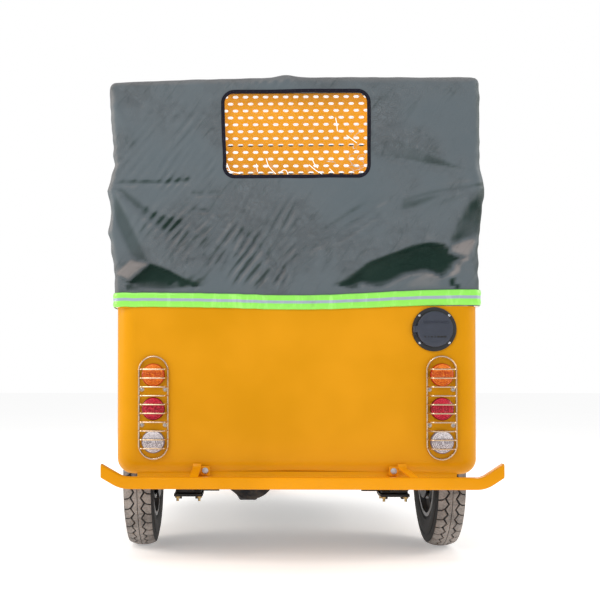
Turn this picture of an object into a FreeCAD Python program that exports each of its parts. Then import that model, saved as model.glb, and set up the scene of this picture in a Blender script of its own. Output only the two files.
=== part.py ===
"""Auto rickshaw: a three-wheeled passenger vehicle with a soft top.

Units are millimetres. X points to the right side, Y to the front and Z up.
The origin is the middle of the overall box, on the ground.
"""
import FreeCAD, Part
import math
import os

V = FreeCAD.Vector

# Running layout
TRACK = 1150.0
WHEELBASE = 1950.0
REAR_OVERHANG = 535.0
FIT = 0.3

# Wheels
TYRE_RADIUS = 278.0
TYRE_WIDTH = 112.0
TREAD_WIDTH = 92.0
BEAD_RADIUS = 157.0
BEAD_WIDTH = 88.0
TYRE_CLINCH = 3.0
TYRE_SHOULDER = 9.0
TYRE_WIDEST = 0.52
RIM_FLANGE_RADIUS = 166.0
RIM_WELL_RADIUS = 132.0
RIM_SHEET = 5.0
HUB_RADIUS = 38.0
HUB_BORE_DEPTH = 26.0
REAR_SPINDLE = 20.0
FRONT_SPINDLE = 11.0
STUD_CIRCLE = 57.0
DRUM_RADIUS = 98.0
DRUM_WIDTH = 44.0
HAND_HOLE_RADIUS = 14.0
HAND_HOLES = 8

# Front mudguard, fork and steering
GUARD_GAP = 32.0
GUARD_SHEET = 4.0
GUARD_WIDTH = 128.0
GUARD_FRONT_ANGLE = -4.0
GUARD_REAR_ANGLE = 168.0
STEERING_RAKE = 22.0
AXLE_LEAD = 52.0
STEM_RADIUS = 17.0
HEAD_TUBE_WALL = 7.0
FORK_BLADE_RADIUS = 17.0
FORK_SPREAD = 88.0
FORK_CROWN = 604.0
HEAD_LOW = 655.0
HEAD_HIGH = 865.0
TUNNEL_DROP = 135.0
TUNNEL_RISE = 40.0
TUNNEL_GAP = 12.0
BAR_RADIUS = 11.0
BAR_HEIGHT = 1000.0
GRIP_RADIUS = 16.0
GRIP_LENGTH = 118.0
BAR_HALF_WIDTH = 330.0
BAR_SWEEP = 95.0
CLAMP_REACH = 18.0

# Body
BODY_WIDTH = 1264.0
BODY_BOTTOM = 316.0
BELT_HEIGHT = 903.0
BUMPER_STANDOFF = 95.0
WALL = 24.0
CORNER_RADIUS = 70.0
SKIRT_RADIUS = 55.0
SKIRT_LIP = 62.0
PANEL_SPLIT = 86.0
QUARTER_END = -420.0
QUARTER_FOOT = -330.0
ARCH_GAP = 42.0
WHEEL_HOUSE_SHEET = 8.0
WHEEL_HOUSE_DEPTH = 128.0

# Floor and cowl
FLOOR_SHEET = 22.0
SILL_HEIGHT = 64.0
SILL_WALL = 20.0
FLOOR_TAPER_START = 200.0
COWL_REAR = 640.0
COWL_FOOT_WIDTH = 880.0
COWL_TOP_WIDTH = 1160.0
COWL_WALL = 20.0
COWL_FOOT_NOSE = 712.0
COWL_TOP_NOSE = 962.0
COWL_CORNER = 0.66
COWL_BLUNT = 0.5
COWL_KNEE_RISE = 200.0
COWL_KNEE_FLARE = 55.0
COWL_KNEE_STEP = 45.0
COWL_CHIN_DROP = 62.0
COWL_CHIN_NARROW = 28.0
COWL_CHIN_SET = 38.0
COWL_BROW_RISE = 48.0
COWL_BROW_NARROW = 6.0
COWL_TOP_RISE = 190.0
DASH_SHELF = 24.0
DASH_REACH = 92.0
DASH_BEND = 80.0
DASH_CUT = 60.0
DASH_HALF_WIDTHS = (520.0, 430.0, 260.0)
DIAL_WIDTH = 210.0
DIAL_HEIGHT = 74.0
DIAL_DEPTH = 52.0
FLOOR_WAIST_RADIUS = 200.0
FLOOR_TAPER_RADIUS = 60.0
FLOOR_NOSE_RADIUS = 120.0

# Windshield
SCREEN_DROP = 58.0
SCREEN_SET = 6.0
SCREEN_LEAN = 150.0
SCREEN_WIDTH = 1150.0
SCREEN_SAG = 110.0
SCREEN_FRAME = 28.0
SCREEN_RAIL = 52.0
SCREEN_CORNER = 60.0
GLASS = 6.0

# Hood
ROOF_HEIGHT = 1700.0
ROOF_CROWN = 12.0
ROOF_FALL = 38.0
ROOF_FRONT = 850.0
ROOF_SLOPE_START = 150.0
KNEE_DROP = 368.0
HOOD_BELT_WIDTH = 1256.0
HOOD_KNEE_WIDTH = 1312.0
HOOD_TOP_WIDTH = 1240.0
HOOD_CORNER = 62.0
KNEE_RADIUS = 160.0
CROWN_RADIUS = 4000.0
SLOPE_RADIUS = 900.0
ROOF_REAR_CORNER = 56.0
HOOD_CLOTH = 8.0
HOOD_REAR_CORNER = 46.0
ROOF_SKIRT_DROP = 112.0
DOORWAY_CORNER = 110.0
DOORWAY_LEAN = 70.0
DOORWAY_FALL = 10.0
BOW_RADIUS = 11.0
REAR_BOW_SET = 14.0
BOW_CORNER_GAP = 30.0
KNEE_RAIL_RADIUS = 9.0
KNEE_RAIL_BEND = 60.0
ROOF_RAIL_RADIUS = 10.0
DOOR_POST_Y = 130.0
RAIL_TUBE = 10.0

# Rear window
WINDOW_WIDTH = 505.0
WINDOW_HEIGHT = 286.0
WINDOW_DROP = 52.0
WINDOW_CORNER = 34.0
BINDING_WIDTH = 13.0
BINDING_THICKNESS = 5.0
PANE_THICKNESS = 1.6
GRILLE_SHEET = 2.5
GRILLE_SIDE = 40.0
GRILLE_LAP = 4.0
GRILLE_HEAD = 24.0
GRILLE_CORNER = 30.0
SLOT_LENGTH = 22.0
SLOT_HEIGHT = 10.0
SLOT_PITCH = 35.5
SLOT_ROW = 24.5
STRIP_HEIGHT = 44.0
STRIP_THICKNESS = 1.5

# Seats
SEAT_TOP = 640.0
SEAT_SHEET = 20.0
SEAT_FRONT = -430.0
SEAT_DEPTH = 500.0
SEAT_WIDTH = 1160.0
CUSHION_THICKNESS = 115.0
BACKREST_HEIGHT = 470.0
BACKREST_THICKNESS = 85.0
BACKREST_LEAN = 12.0
DRIVER_SEAT_TOP = 560.0
DRIVER_SEAT_WIDTH = 500.0
DRIVER_SEAT_DEPTH = 320.0
DRIVER_SEAT_FRONT = 500.0
DRIVER_CUSHION_THICKNESS = 92.0
DRIVER_BACK_LOW = 190.0
DRIVER_BACK_HIGH = 460.0
DRIVER_BACK_THICKNESS = 62.0
CABIN_RAIL_LOW = 250.0
CABIN_RAIL_HIGH = 400.0
CABIN_RAIL_BEND = 70.0

# Chassis, axle and springs
RAIL_SPREAD = 330.0
RAIL_WIDTH = 40.0
RAIL_DEPTH = 58.0
RAIL_KICK = 104.0
KICK_FOOT = 170.0
KICK_TOP = 62.0
AXLE_TUBE_RADIUS = 30.0
DIFF_RADIUS = 105.0
DIFF_OFFSET = -168.0
DIFF_WIDTH = 92.0
LEAF_WIDTH = 50.0
LEAF_THICKNESS = 8.0
LEAF_LENGTH = 700.0
LEAF_CAMBER = 34.0
LEAVES = 4
SPRING_SPREAD = 400.0
SPRING_EYE = 15.0
SPRING_PIN = 8.0
SHACKLE = 6.0
UBOLT_RADIUS = 5.5
PLATE_SIZE = 100.0
PLATE_THICKNESS = 10.0
DAMPER_SPREAD = 294.0
DAMPER_RADIUS = 15.5

# Motor and battery
MOTOR_RADIUS = 84.0
MOTOR_LENGTH = 170.0
BATTERY_GAP = 24.0
BATTERY_WIDTH = 520.0
BATTERY_DEPTH = 172.0
BATTERY_HEIGHT = 236.0

# Rear bumper
BUMPER_WIDTH = 1354.0
BUMPER_BEND = 1200.0
BUMPER_HEIGHT = 299.0
BUMPER_RISE = 43.0
BUMPER_DEPTH = 40.0
BUMPER_FACE = 44.0
STRUT_WIDTH = 38.0

# Lamps and charging port
LAMP_SPREAD = 996.0
LAMP_RADIUS = 40.0
LAMP_DROPS = (158.0, 275.0, 389.0)
LAMP_BACK = 8.0
LENS_DEPTH = 24.0
LENS_CURVE = 1.5
LAMP_GUARD_WIDTH = 107.0
LAMP_GUARD_HEIGHT = 356.0
LAMP_GUARD_BAR = 5.0
LAMP_GUARD_STANDOFF = 44.0
LAMP_GUARD_RUNGS = 10
LAMP_GUARD_FOOT = 18.0
LAMP_GUARD_FEET = (-64.0, 60.0)
PORT_X = 474.0
PORT_DROP = 81.0
PORT_FLANGE = 7.0
PORT_RING = 22.0
HINGE_PIN_RADIUS = 2.5
HINGE_BARREL_RADIUS = 5.5
HINGE_EAR = 17.0
PORT_RADIUS = 76.0
FLAP_RADIUS = 62.0
FLAP_THICKNESS = 13.0
HEADLAMP_RADIUS = 88.0
HEADLAMP_SPREAD = 640.0
HEADLAMP_HEIGHT = 770.0
HEADLAMP_REACH = 34.0
HEADLAMP_BEZEL = 12.0
INDICATOR_RADIUS = 34.0
INDICATOR_REACH = 24.0
INDICATOR_RISE = 60.0
INDICATOR_SET = 96.0

# Places worked out from the driving sizes
GUARD_RADIUS = TYRE_RADIUS + GUARD_GAP + GUARD_SHEET
LENGTH = REAR_OVERHANG + WHEELBASE + GUARD_RADIUS
BUMPER_Y = -LENGTH / 2.0
REAR_AXLE_Y = BUMPER_Y + REAR_OVERHANG
FRONT_AXLE_Y = REAR_AXLE_Y + WHEELBASE
BODY_Y = BUMPER_Y + BUMPER_STANDOFF
FLOOR_TOP = BODY_BOTTOM + FLOOR_SHEET
ARCH_RADIUS = TYRE_RADIUS + ARCH_GAP
SPLIT_Y = BODY_Y + PANEL_SPLIT
COWL_KNEE = FLOOR_TOP + COWL_KNEE_RISE
COWL_CHIN = HEADLAMP_HEIGHT - COWL_CHIN_DROP
COWL_BROW = HEADLAMP_HEIGHT + COWL_BROW_RISE
COWL_TOP = HEADLAMP_HEIGHT + COWL_TOP_RISE
SCREEN_TOP = ROOF_HEIGHT - SCREEN_DROP
ROOF_FRONT_HEIGHT = ROOF_HEIGHT - ROOF_FALL
ROOF_SKIRT_HEIGHT = ROOF_HEIGHT - ROOF_SKIRT_DROP
KNEE_HEIGHT = ROOF_HEIGHT - KNEE_DROP
WINDOW_TOP = ROOF_HEIGHT - WINDOW_DROP
WINDOW_BOTTOM = WINDOW_TOP - WINDOW_HEIGHT
PORT_HEIGHT = BELT_HEIGHT - PORT_DROP
LAMP_HEIGHTS = tuple(PORT_HEIGHT - drop for drop in LAMP_DROPS)
HALF_BODY = BODY_WIDTH / 2.0
RAKE = math.radians(STEERING_RAKE)
STEER_AXIS = V(0.0, -math.sin(RAKE), math.cos(RAKE))


def steering_point(height):
    """Point of the steering axis at a height."""
    y = FRONT_AXLE_Y - AXLE_LEAD - (height - TYRE_RADIUS) * math.tan(RAKE)
    return V(0.0, y, height)


def place(u, v, plane, at):
    """Point of a plane: XY, XZ or YZ, at its distance from the origin."""
    if plane == "XY":
        return V(u, v, at)
    if plane == "XZ":
        return V(u, at, v)
    return V(at, u, v)


def rounded_path(points, radius, closed=False):
    """Wire through points, with tangent arcs of one radius, or of a list of radii, at its corners."""
    count = len(points)
    radii = list(radius) if isinstance(radius, (list, tuple)) else [radius] * count
    edges = []
    starts = []
    ends = []
    for i, point in enumerate(points):
        inner = closed or 0 < i < count - 1
        if not inner or radii[i] <= 0.0:
            starts.append(point)
            ends.append(point)
            continue
        before = (points[i - 1] - point).normalize()
        after = (points[(i + 1) % count] - point).normalize()
        half = before.getAngle(after) / 2.0
        reach = radii[i] / math.tan(half)
        middle = (before + after).normalize() * (radii[i] / math.sin(half) - radii[i])
        starts.append(point + before * reach)
        ends.append(point + after * reach)
        edges.append((i, Part.Arc(starts[i], point + middle, ends[i]).toShape()))
    arcs = dict(edges)
    chain = []
    for i in range(count):
        if i in arcs:
            chain.append(arcs[i])
        following = (i + 1) % count
        if following == 0 and not closed:
            break
        if (starts[following] - ends[i]).Length > 1e-4:
            chain.append(Part.LineSegment(ends[i], starts[following]).toShape())
    return Part.Wire(chain)


def outline(points, radius=0.0, plane="XY", at=0.0):
    """Closed wire in a plane from pairs of coordinates."""
    return rounded_path([place(u, v, plane, at) for u, v in points], radius, closed=True)


def rectangle(half, low, high, middle=0.0):
    """Corners of an upright rectangle about a middle line."""
    return [(middle - half, low), (middle + half, low), (middle + half, high), (middle - half, high)]


def slab(points, radius, plane, start, end):
    """Prism on an outline, from one distance to another along the plane's normal."""
    reach = place(0.0, 0.0, plane, end - start)
    return Part.Face(outline(points, radius, plane, start)).extrude(reach)


def block(x0, x1, y0, y1, z0, z1):
    """Box between two corners."""
    return Part.makeBox(x1 - x0, y1 - y0, z1 - z0, V(x0, y0, z0))


def rod(start, end, radius):
    """Round bar between two points."""
    return Part.makeCylinder(radius, (end - start).Length, start, end - start)


def tube(points, radius, bend):
    """Round bar along a bent path."""
    path = rounded_path(points, bend)
    section = Part.Wire(Part.makeCircle(radius, points[0], points[1] - points[0]))
    return path.makePipeShell([section], True, True)


def revolve(points, radius, centre, angle=360.0):
    """Ring turned about the X direction, from pairs of lateral place and radius."""
    profile = outline([(u + centre.x, v + centre.z) for u, v in points], radius, "XZ", centre.y)
    return Part.Face(profile).revolve(centre, V(1.0, 0.0, 0.0), angle)


def mirrored(shape):
    """The same shape on the other side of the middle plane."""
    return shape.mirror(V(0.0, 0.0, 0.0), V(1.0, 0.0, 0.0))


def both_sides(shape):
    """A shape and its mirror image, apart from each other."""
    return Part.makeCompound([shape, mirrored(shape)])


def joined(shapes):
    """Shapes fused to one, without their seams."""
    return shapes[0].multiFuse(shapes[1:]).removeSplitter()


# Wheels

def tyre(centre):
    """Cross-ply tyre with bulging sidewalls, shoulders and a slight crown."""
    half = TYRE_WIDTH / 2.0
    tread = TREAD_WIDTH / 2.0
    bead = BEAD_WIDTH / 2.0
    height = TYRE_RADIUS - BEAD_RADIUS
    side = [(bead, BEAD_RADIUS), (bead, RIM_FLANGE_RADIUS + TYRE_CLINCH)]
    side += [(half, BEAD_RADIUS + height * TYRE_WIDEST), (tread, TYRE_RADIUS - TYRE_SHOULDER),
             (tread * 0.4, TYRE_RADIUS)]
    return revolve([(-u, v) for u, v in side] + side[::-1], 0.0, centre)


def rim(centre, outward, bore):
    """Pressed wheel: flanged barrel with a well, dished disc, bored hub and brake drum on its inner side."""
    flange = BEAD_WIDTH / 2.0 + RIM_SHEET
    seat = BEAD_RADIUS - FIT
    well = RIM_WELL_RADIUS
    barrel = revolve([
        (-flange, RIM_FLANGE_RADIUS), (-flange + RIM_SHEET - FIT, RIM_FLANGE_RADIUS),
        (-flange + RIM_SHEET - FIT, seat), (-24.0, seat), (-16.0, well), (16.0, well), (24.0, seat),
        (flange - RIM_SHEET + FIT, seat), (flange - RIM_SHEET + FIT, RIM_FLANGE_RADIUS),
        (flange, RIM_FLANGE_RADIUS), (flange, seat - RIM_SHEET), (27.0, seat - RIM_SHEET),
        (19.0, well - RIM_SHEET), (-19.0, well - RIM_SHEET), (-27.0, seat - RIM_SHEET),
        (-flange, seat - RIM_SHEET)], 0.0, centre)
    side = outward
    face = 6.0 * side
    dish = 22.0 * side
    disc = revolve([
        (face, well - RIM_SHEET), (dish, DRUM_RADIUS), (dish, STUD_CIRCLE + 22.0), (face, HUB_RADIUS),
        (face - RIM_SHEET * side, HUB_RADIUS), (dish - RIM_SHEET * side, STUD_CIRCLE + 22.0),
        (dish - RIM_SHEET * side, DRUM_RADIUS), (face - RIM_SHEET * side, well - RIM_SHEET)], 0.0, centre)
    for i in range(HAND_HOLES):
        turn = 2.0 * math.pi * i / HAND_HOLES
        reach = (DRUM_RADIUS + well) / 2.0 - 5.0
        spot = centre + V(0.0, reach * math.cos(turn), reach * math.sin(turn))
        disc = disc.cut(rod(spot - V(40.0, 0.0, 0.0), spot + V(40.0, 0.0, 0.0), HAND_HOLE_RADIUS))
    hub = rod(centre - V(10.0 * side, 0.0, 0.0), centre + V(34.0 * side, 0.0, 0.0), HUB_RADIUS)
    pieces = [barrel, disc, hub]
    for i in range(4):
        turn = math.pi / 4.0 + math.pi / 2.0 * i
        spot = centre + V(face, STUD_CIRCLE * math.cos(turn), STUD_CIRCLE * math.sin(turn))
        pieces.append(rod(spot - V(8.0 * side, 0.0, 0.0), spot + V(24.0 * side, 0.0, 0.0), 8.0))
    drum = revolve([
        (-DRUM_WIDTH * side, DRUM_RADIUS - 12.0), (-DRUM_WIDTH * side, DRUM_RADIUS),
        (-6.0 * side, DRUM_RADIUS), (4.0 * side, STUD_CIRCLE + 12.0), (4.0 * side, HUB_RADIUS - 4.0),
        (-4.0 * side, HUB_RADIUS - 4.0), (-14.0 * side, DRUM_RADIUS - 12.0)], 0.0, centre)
    pieces.append(drum)
    inner = centre - V(DRUM_WIDTH * side, 0.0, 0.0)
    outer = centre + V(HUB_BORE_DEPTH * side, 0.0, 0.0)
    return joined(pieces).cut(rod(inner, outer, bore + FIT))


# Body

def tub(inset):
    """Outer form of the lower body, moved inward by an inset."""
    x = HALF_BODY - inset
    form = block(-x, x, BODY_Y + inset, 0.0, BODY_BOTTOM + inset, BELT_HEIGHT)
    rear = BODY_Y + inset
    upright = [e for e in form.Edges if abs(e.BoundBox.YMax - rear) < 1e-3 and e.BoundBox.ZLength > 9.0]
    form = form.makeFillet(CORNER_RADIUS - inset, upright)
    bottom = BODY_BOTTOM + inset
    skirt = [e for e in form.Edges if e.BoundBox.ZMax < bottom + 1e-3 and e.BoundBox.YMin < -1.0]
    return form.makeFillet(SKIRT_RADIUS - inset, skirt)


def body_shell():
    """Lower body wall with its lip round the open underside and its wheel arches."""
    well = block(SKIRT_LIP - HALF_BODY, HALF_BODY - SKIRT_LIP, BODY_Y + SKIRT_LIP, 1.0,
                 BODY_BOTTOM - 1.0, BODY_BOTTOM + SKIRT_RADIUS)
    open_top = tub(WALL)
    top_plug = block(WALL + CORNER_RADIUS - HALF_BODY, HALF_BODY - WALL - CORNER_RADIUS,
                     BODY_Y + WALL + CORNER_RADIUS, 1.0, BELT_HEIGHT - 1.0, BELT_HEIGHT + 1.0)
    shell = tub(0.0).cut(open_top).cut(well).cut(top_plug)
    arch = rod(V(-HALF_BODY - 1.0, REAR_AXLE_Y, TYRE_RADIUS), V(HALF_BODY + 1.0, REAR_AXLE_Y, TYRE_RADIUS),
               ARCH_RADIUS)
    return shell.cut(arch)


def rear_panel(shell):
    """Rear face with its rounded corners and the hole of the charging port."""
    panel = shell.common(block(-HALF_BODY, HALF_BODY, BODY_Y - 1.0, SPLIT_Y, BODY_BOTTOM, BELT_HEIGHT))
    hole = rod(V(PORT_X, BODY_Y - 1.0, PORT_HEIGHT), V(PORT_X, SPLIT_Y, PORT_HEIGHT), PORT_RADIUS - PORT_RING)
    return panel.cut(hole)


def side_panel_left(shell):
    """Quarter panel beside the passengers, with a sloping front edge."""
    profile = slab([(SPLIT_Y, BODY_BOTTOM), (QUARTER_FOOT, BODY_BOTTOM), (QUARTER_FOOT, BODY_BOTTOM + 120.0),
                    (QUARTER_END, BELT_HEIGHT), (SPLIT_Y, BELT_HEIGHT)], (0.0, 0.0, 120.0, 40.0, 0.0),
                   "YZ", -HALF_BODY, -HALF_BODY / 2.0)
    return shell.common(profile)


def wheel_houses():
    """Arched covers over the rear wheels, on the inside of the side panels."""
    outer_x = HALF_BODY - WALL
    inner_x = outer_x - WHEEL_HOUSE_DEPTH
    foot = BODY_BOTTOM + WALL
    cover = rod(V(inner_x, REAR_AXLE_Y, TYRE_RADIUS), V(outer_x, REAR_AXLE_Y, TYRE_RADIUS),
                ARCH_RADIUS + WHEEL_HOUSE_SHEET)
    hollow = rod(V(inner_x + WHEEL_HOUSE_SHEET, REAR_AXLE_Y, TYRE_RADIUS),
                 V(outer_x, REAR_AXLE_Y, TYRE_RADIUS), ARCH_RADIUS)
    keep = block(inner_x, outer_x, BODY_Y, 0.0, foot, SEAT_TOP - SEAT_SHEET)
    gap = block(inner_x - 1.0, inner_x + WHEEL_HOUSE_SHEET + 1.0, REAR_AXLE_Y - 60.0, REAR_AXLE_Y + 60.0,
                foot - 1.0, TYRE_RADIUS + AXLE_TUBE_RADIUS + 90.0)
    return both_sides(cover.cut(hollow).common(keep).cut(gap).common(tub(WALL)))


# Floor and front

def floor_outline(inset):
    """Plan of the floor, narrowing to the cowl's foot."""
    wide = HALF_BODY - inset
    foot = COWL_FOOT_WIDTH / 2.0 - inset
    nose = COWL_FOOT_NOSE - inset
    return [(-wide, QUARTER_FOOT), (wide, QUARTER_FOOT), (wide, FLOOR_TAPER_START), (foot, COWL_REAR),
            (foot * 0.55, nose), (-foot * 0.55, nose), (-foot, COWL_REAR), (-wide, FLOOR_TAPER_START)]


def floor_corners(inset):
    """Radii of the floor's corners, in the order of its outline."""
    waist = FLOOR_WAIST_RADIUS - inset
    half = (waist, FLOOR_TAPER_RADIUS, FLOOR_NOSE_RADIUS)
    return (0.0, 0.0) + half + half[::-1]


def floor_pan():
    """Floor with raised sills at the doorways and a flat part under the passenger seat."""
    corners = floor_corners(0.0)
    pan = slab(floor_outline(0.0), corners, "XY", BODY_BOTTOM, FLOOR_TOP)
    inside = HALF_BODY - WALL
    flat = block(SKIRT_LIP - HALF_BODY, HALF_BODY - SKIRT_LIP, REAR_AXLE_Y + KICK_FOOT + 46.0,
                 QUARTER_FOOT, BODY_BOTTOM, FLOOR_TOP)
    arch = rod(V(-HALF_BODY, REAR_AXLE_Y, TYRE_RADIUS), V(HALF_BODY, REAR_AXLE_Y, TYRE_RADIUS),
               ARCH_RADIUS + WHEEL_HOUSE_SHEET + FIT)
    between = inside - WHEEL_HOUSE_DEPTH - FIT
    flat = flat.cut(arch.cut(block(-between, between, BODY_Y, 0.0, 0.0, BELT_HEIGHT)))
    room = MOTOR_RADIUS + 10.0
    flat = flat.cut(block(DIFF_OFFSET - room, DIFF_OFFSET + room, BODY_Y,
                          REAR_AXLE_Y + DIFF_RADIUS + MOTOR_LENGTH + 60.0, 0.0, BELT_HEIGHT))
    sill_top = BODY_BOTTOM + SILL_HEIGHT
    rim_form = slab(floor_outline(0.0), corners, "XY", FLOOR_TOP, sill_top)
    hollow = slab(floor_outline(SILL_WALL), floor_corners(SILL_WALL), "XY", FLOOR_TOP, sill_top)
    doorways = block(-HALF_BODY, HALF_BODY, QUARTER_FOOT, COWL_REAR, 0.0, BELT_HEIGHT)
    sills = rim_form.cut(hollow).common(doorways)
    ends = block(-inside + 1.0, inside - 1.0, QUARTER_FOOT - 1.0, QUARTER_FOOT + SILL_WALL + 1.0, FLOOR_TOP,
                 BELT_HEIGHT)
    return joined([pan, flat, sills.cut(ends)])


def cowl_section(height, half, nose, inset):
    """Outline of the cowl at one height: straight sides, rounded corners and a blunt nose."""
    w = half - inset
    depth = nose - inset - COWL_REAR
    corner = COWL_REAR + depth * COWL_CORNER
    front = COWL_REAR + depth
    points = [(-w, COWL_REAR), (-w, corner), (-w * COWL_BLUNT, front), (w * COWL_BLUNT, front), (w, corner),
              (w, COWL_REAR)]
    near = min(w * 0.36, depth * 0.3)
    far = w * 0.6
    return outline(points, (0.0, near, far, far, near, 0.0), "XY", height)


def cowl_form(inset):
    """Cowl body lofted from its foot on the floor to its top edge; an inset one runs past both ends."""
    over = 1.0 if inset > 0.0 else 0.0
    half_foot = COWL_FOOT_WIDTH / 2.0
    half_top = COWL_TOP_WIDTH / 2.0
    return Part.makeLoft([
        cowl_section(FLOOR_TOP - over, half_foot, COWL_FOOT_NOSE, inset),
        cowl_section(COWL_KNEE, half_foot + COWL_KNEE_FLARE, COWL_FOOT_NOSE + COWL_KNEE_STEP, inset),
        cowl_section(COWL_CHIN, half_top - COWL_CHIN_NARROW, COWL_TOP_NOSE - COWL_CHIN_SET, inset),
        cowl_section(COWL_BROW, half_top - COWL_BROW_NARROW, COWL_TOP_NOSE, inset),
        cowl_section(COWL_TOP + over, half_top, COWL_TOP_NOSE, inset)], True)


def steering_tunnel(radius):
    """Space of the steering head through the cowl."""
    return rod(steering_point(HEAD_LOW - TUNNEL_DROP), steering_point(HEAD_HIGH + TUNNEL_RISE), radius)


def front_cowl():
    """Front shell below the windshield, open to the driver, with the hole of the steering head."""
    half = COWL_FOOT_WIDTH / 2.0 - COWL_WALL
    mouth = block(-half, half, COWL_REAR - 1.0, COWL_REAR + 1.0, FLOOR_TOP, COWL_TOP)
    shell = cowl_form(0.0).cut(cowl_form(COWL_WALL)).cut(mouth)
    return shell.cut(steering_tunnel(STEM_RADIUS + HEAD_TUBE_WALL + TUNNEL_GAP))


def dashboard():
    """Shelf under the windshield with the instrument housing on it."""
    top = COWL_TOP - 2.0
    form = cowl_form(COWL_WALL)
    reach = COWL_TOP_NOSE - DASH_REACH
    slice_box = block(-HALF_BODY, HALF_BODY, COWL_REAR, FRONT_AXLE_Y, top - DASH_SHELF, top)
    wide, knee, narrow = DASH_HALF_WIDTHS
    edge = [(-wide, COWL_REAR - 1.0), (-knee, reach - DASH_CUT), (-narrow, reach), (narrow, reach),
            (knee, reach - DASH_CUT), (wide, COWL_REAR - 1.0)]
    driver_side = slab(edge, (0.0, DASH_BEND, DASH_BEND, DASH_BEND, DASH_BEND, 0.0), "XY",
                       top - DASH_SHELF - 1.0, top + 1.0)
    shelf = form.common(slice_box).cut(driver_side)
    near = reach - 6.0
    housing = slab([(near, top), (near + DIAL_DEPTH, top), (near + DIAL_DEPTH - 16.0, top + DIAL_HEIGHT),
                    (near + 10.0, top + DIAL_HEIGHT - 8.0)], (0.0, 0.0, 14.0, 8.0), "YZ", -DIAL_WIDTH / 2.0,
                   DIAL_WIDTH / 2.0)
    return joined([shelf, housing])


def screen_band(thickness, inset):
    """Curved upright sheet of the windshield, leaning back, from the cowl to the hood."""
    half = SCREEN_WIDTH / 2.0
    nose = COWL_TOP_NOSE - inset
    side = nose - SCREEN_SAG
    front = Part.Arc(V(-half, side, COWL_TOP), V(0.0, nose, COWL_TOP), V(half, side, COWL_TOP)).toShape()
    back = Part.Arc(V(half, side - thickness, COWL_TOP), V(0.0, nose - thickness, COWL_TOP),
                    V(-half, side - thickness, COWL_TOP)).toShape()
    ends = [Part.LineSegment(V(half, side, COWL_TOP), V(half, side - thickness, COWL_TOP)).toShape(),
            Part.LineSegment(V(-half, side - thickness, COWL_TOP), V(-half, side, COWL_TOP)).toShape()]
    face = Part.Face(Part.Wire([front, ends[0], back, ends[1]]))
    return face.extrude(V(0.0, -SCREEN_LEAN, SCREEN_TOP - COWL_TOP))


def screen_opening(gap):
    """Window of the windshield frame, seen from the front."""
    half = SCREEN_WIDTH / 2.0 - SCREEN_RAIL + gap
    low = COWL_TOP + SCREEN_RAIL * 0.6 - gap
    high = SCREEN_TOP - SCREEN_RAIL + gap
    return slab(rectangle(half, low, high), SCREEN_CORNER + gap, "XZ", 0.0, FRONT_AXLE_Y)


def windshield_frame():
    """Frame of the windshield with its rounded opening."""
    return screen_band(SCREEN_FRAME, SCREEN_SET).cut(screen_opening(0.0))


def windshield_glass():
    """Curved glass in the frame's opening."""
    inset = SCREEN_SET + (SCREEN_FRAME - GLASS) / 2.0
    return screen_band(GLASS, inset).common(screen_opening(-FIT))


# Hood

def hood_section(inset):
    """Front view of the hood: sides that lean out to a knee, rounded top corners and a slight crown."""
    belt = HOOD_BELT_WIDTH / 2.0 - inset
    knee = HOOD_KNEE_WIDTH / 2.0 - inset
    top = HOOD_TOP_WIDTH / 2.0 - inset
    high = ROOF_HEIGHT - inset
    edge = high - ROOF_CROWN
    points = [(-belt, BELT_HEIGHT + FIT), (belt, BELT_HEIGHT + FIT), (knee, KNEE_HEIGHT), (top, edge),
              (0.0, high), (-top, edge), (-knee, KNEE_HEIGHT)]
    corner = HOOD_CORNER - inset
    return slab(points, (0.0, 0.0, KNEE_RADIUS, corner, CROWN_RADIUS, corner, KNEE_RADIUS), "XZ", BODY_Y,
                ROOF_FRONT)


def hood_profile(inset):
    """Side view of the hood: upright rear, rounded rear roof edge and a roof falling to the front."""
    rear = BODY_Y + inset
    high = ROOF_HEIGHT - inset
    points = [(rear, BELT_HEIGHT + FIT), (rear, high), (ROOF_SLOPE_START, high),
              (ROOF_FRONT, ROOF_FRONT_HEIGHT - inset), (ROOF_FRONT, BELT_HEIGHT + FIT)]
    reach = HOOD_KNEE_WIDTH
    return slab(points, (0.0, ROOF_REAR_CORNER - inset, SLOPE_RADIUS, 0.0, 0.0), "YZ", -reach, reach)


def hood_plan(inset):
    """Plan of the hood: rear corners rounded from the flat rear face to the sides."""
    half = HOOD_KNEE_WIDTH / 2.0 - inset
    rear = BODY_Y + inset
    corner = HOOD_REAR_CORNER - inset
    return slab(rectangle(half, rear, ROOF_FRONT), (corner, corner, 0.0, 0.0), "XY", BODY_BOTTOM,
                ROOF_HEIGHT + 1.0)


def hood_form(inset):
    """Closed form of the hood, moved inward by an inset."""
    return hood_section(inset).common(hood_profile(inset)).common(hood_plan(inset))


def side_doorways():
    """Open sides in front of the quarters, under the roof's skirts."""
    front = ROOF_FRONT + 1.0
    return slab([(QUARTER_END, BELT_HEIGHT - 1.0), (QUARTER_END + DOORWAY_LEAN, ROOF_SKIRT_HEIGHT),
                 (front, ROOF_SKIRT_HEIGHT - DOORWAY_FALL), (front, BELT_HEIGHT - 1.0)],
                (0.0, DOORWAY_CORNER, 0.0, 0.0), "YZ", -HOOD_KNEE_WIDTH, HOOD_KNEE_WIDTH)


def window_prism(grow, start, end):
    """Rounded rectangle of the rear window."""
    half = WINDOW_WIDTH / 2.0 + grow
    low = WINDOW_BOTTOM - grow
    high = WINDOW_TOP + grow
    return slab(rectangle(half, low, high), WINDOW_CORNER + grow, "XZ", start, end)


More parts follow.
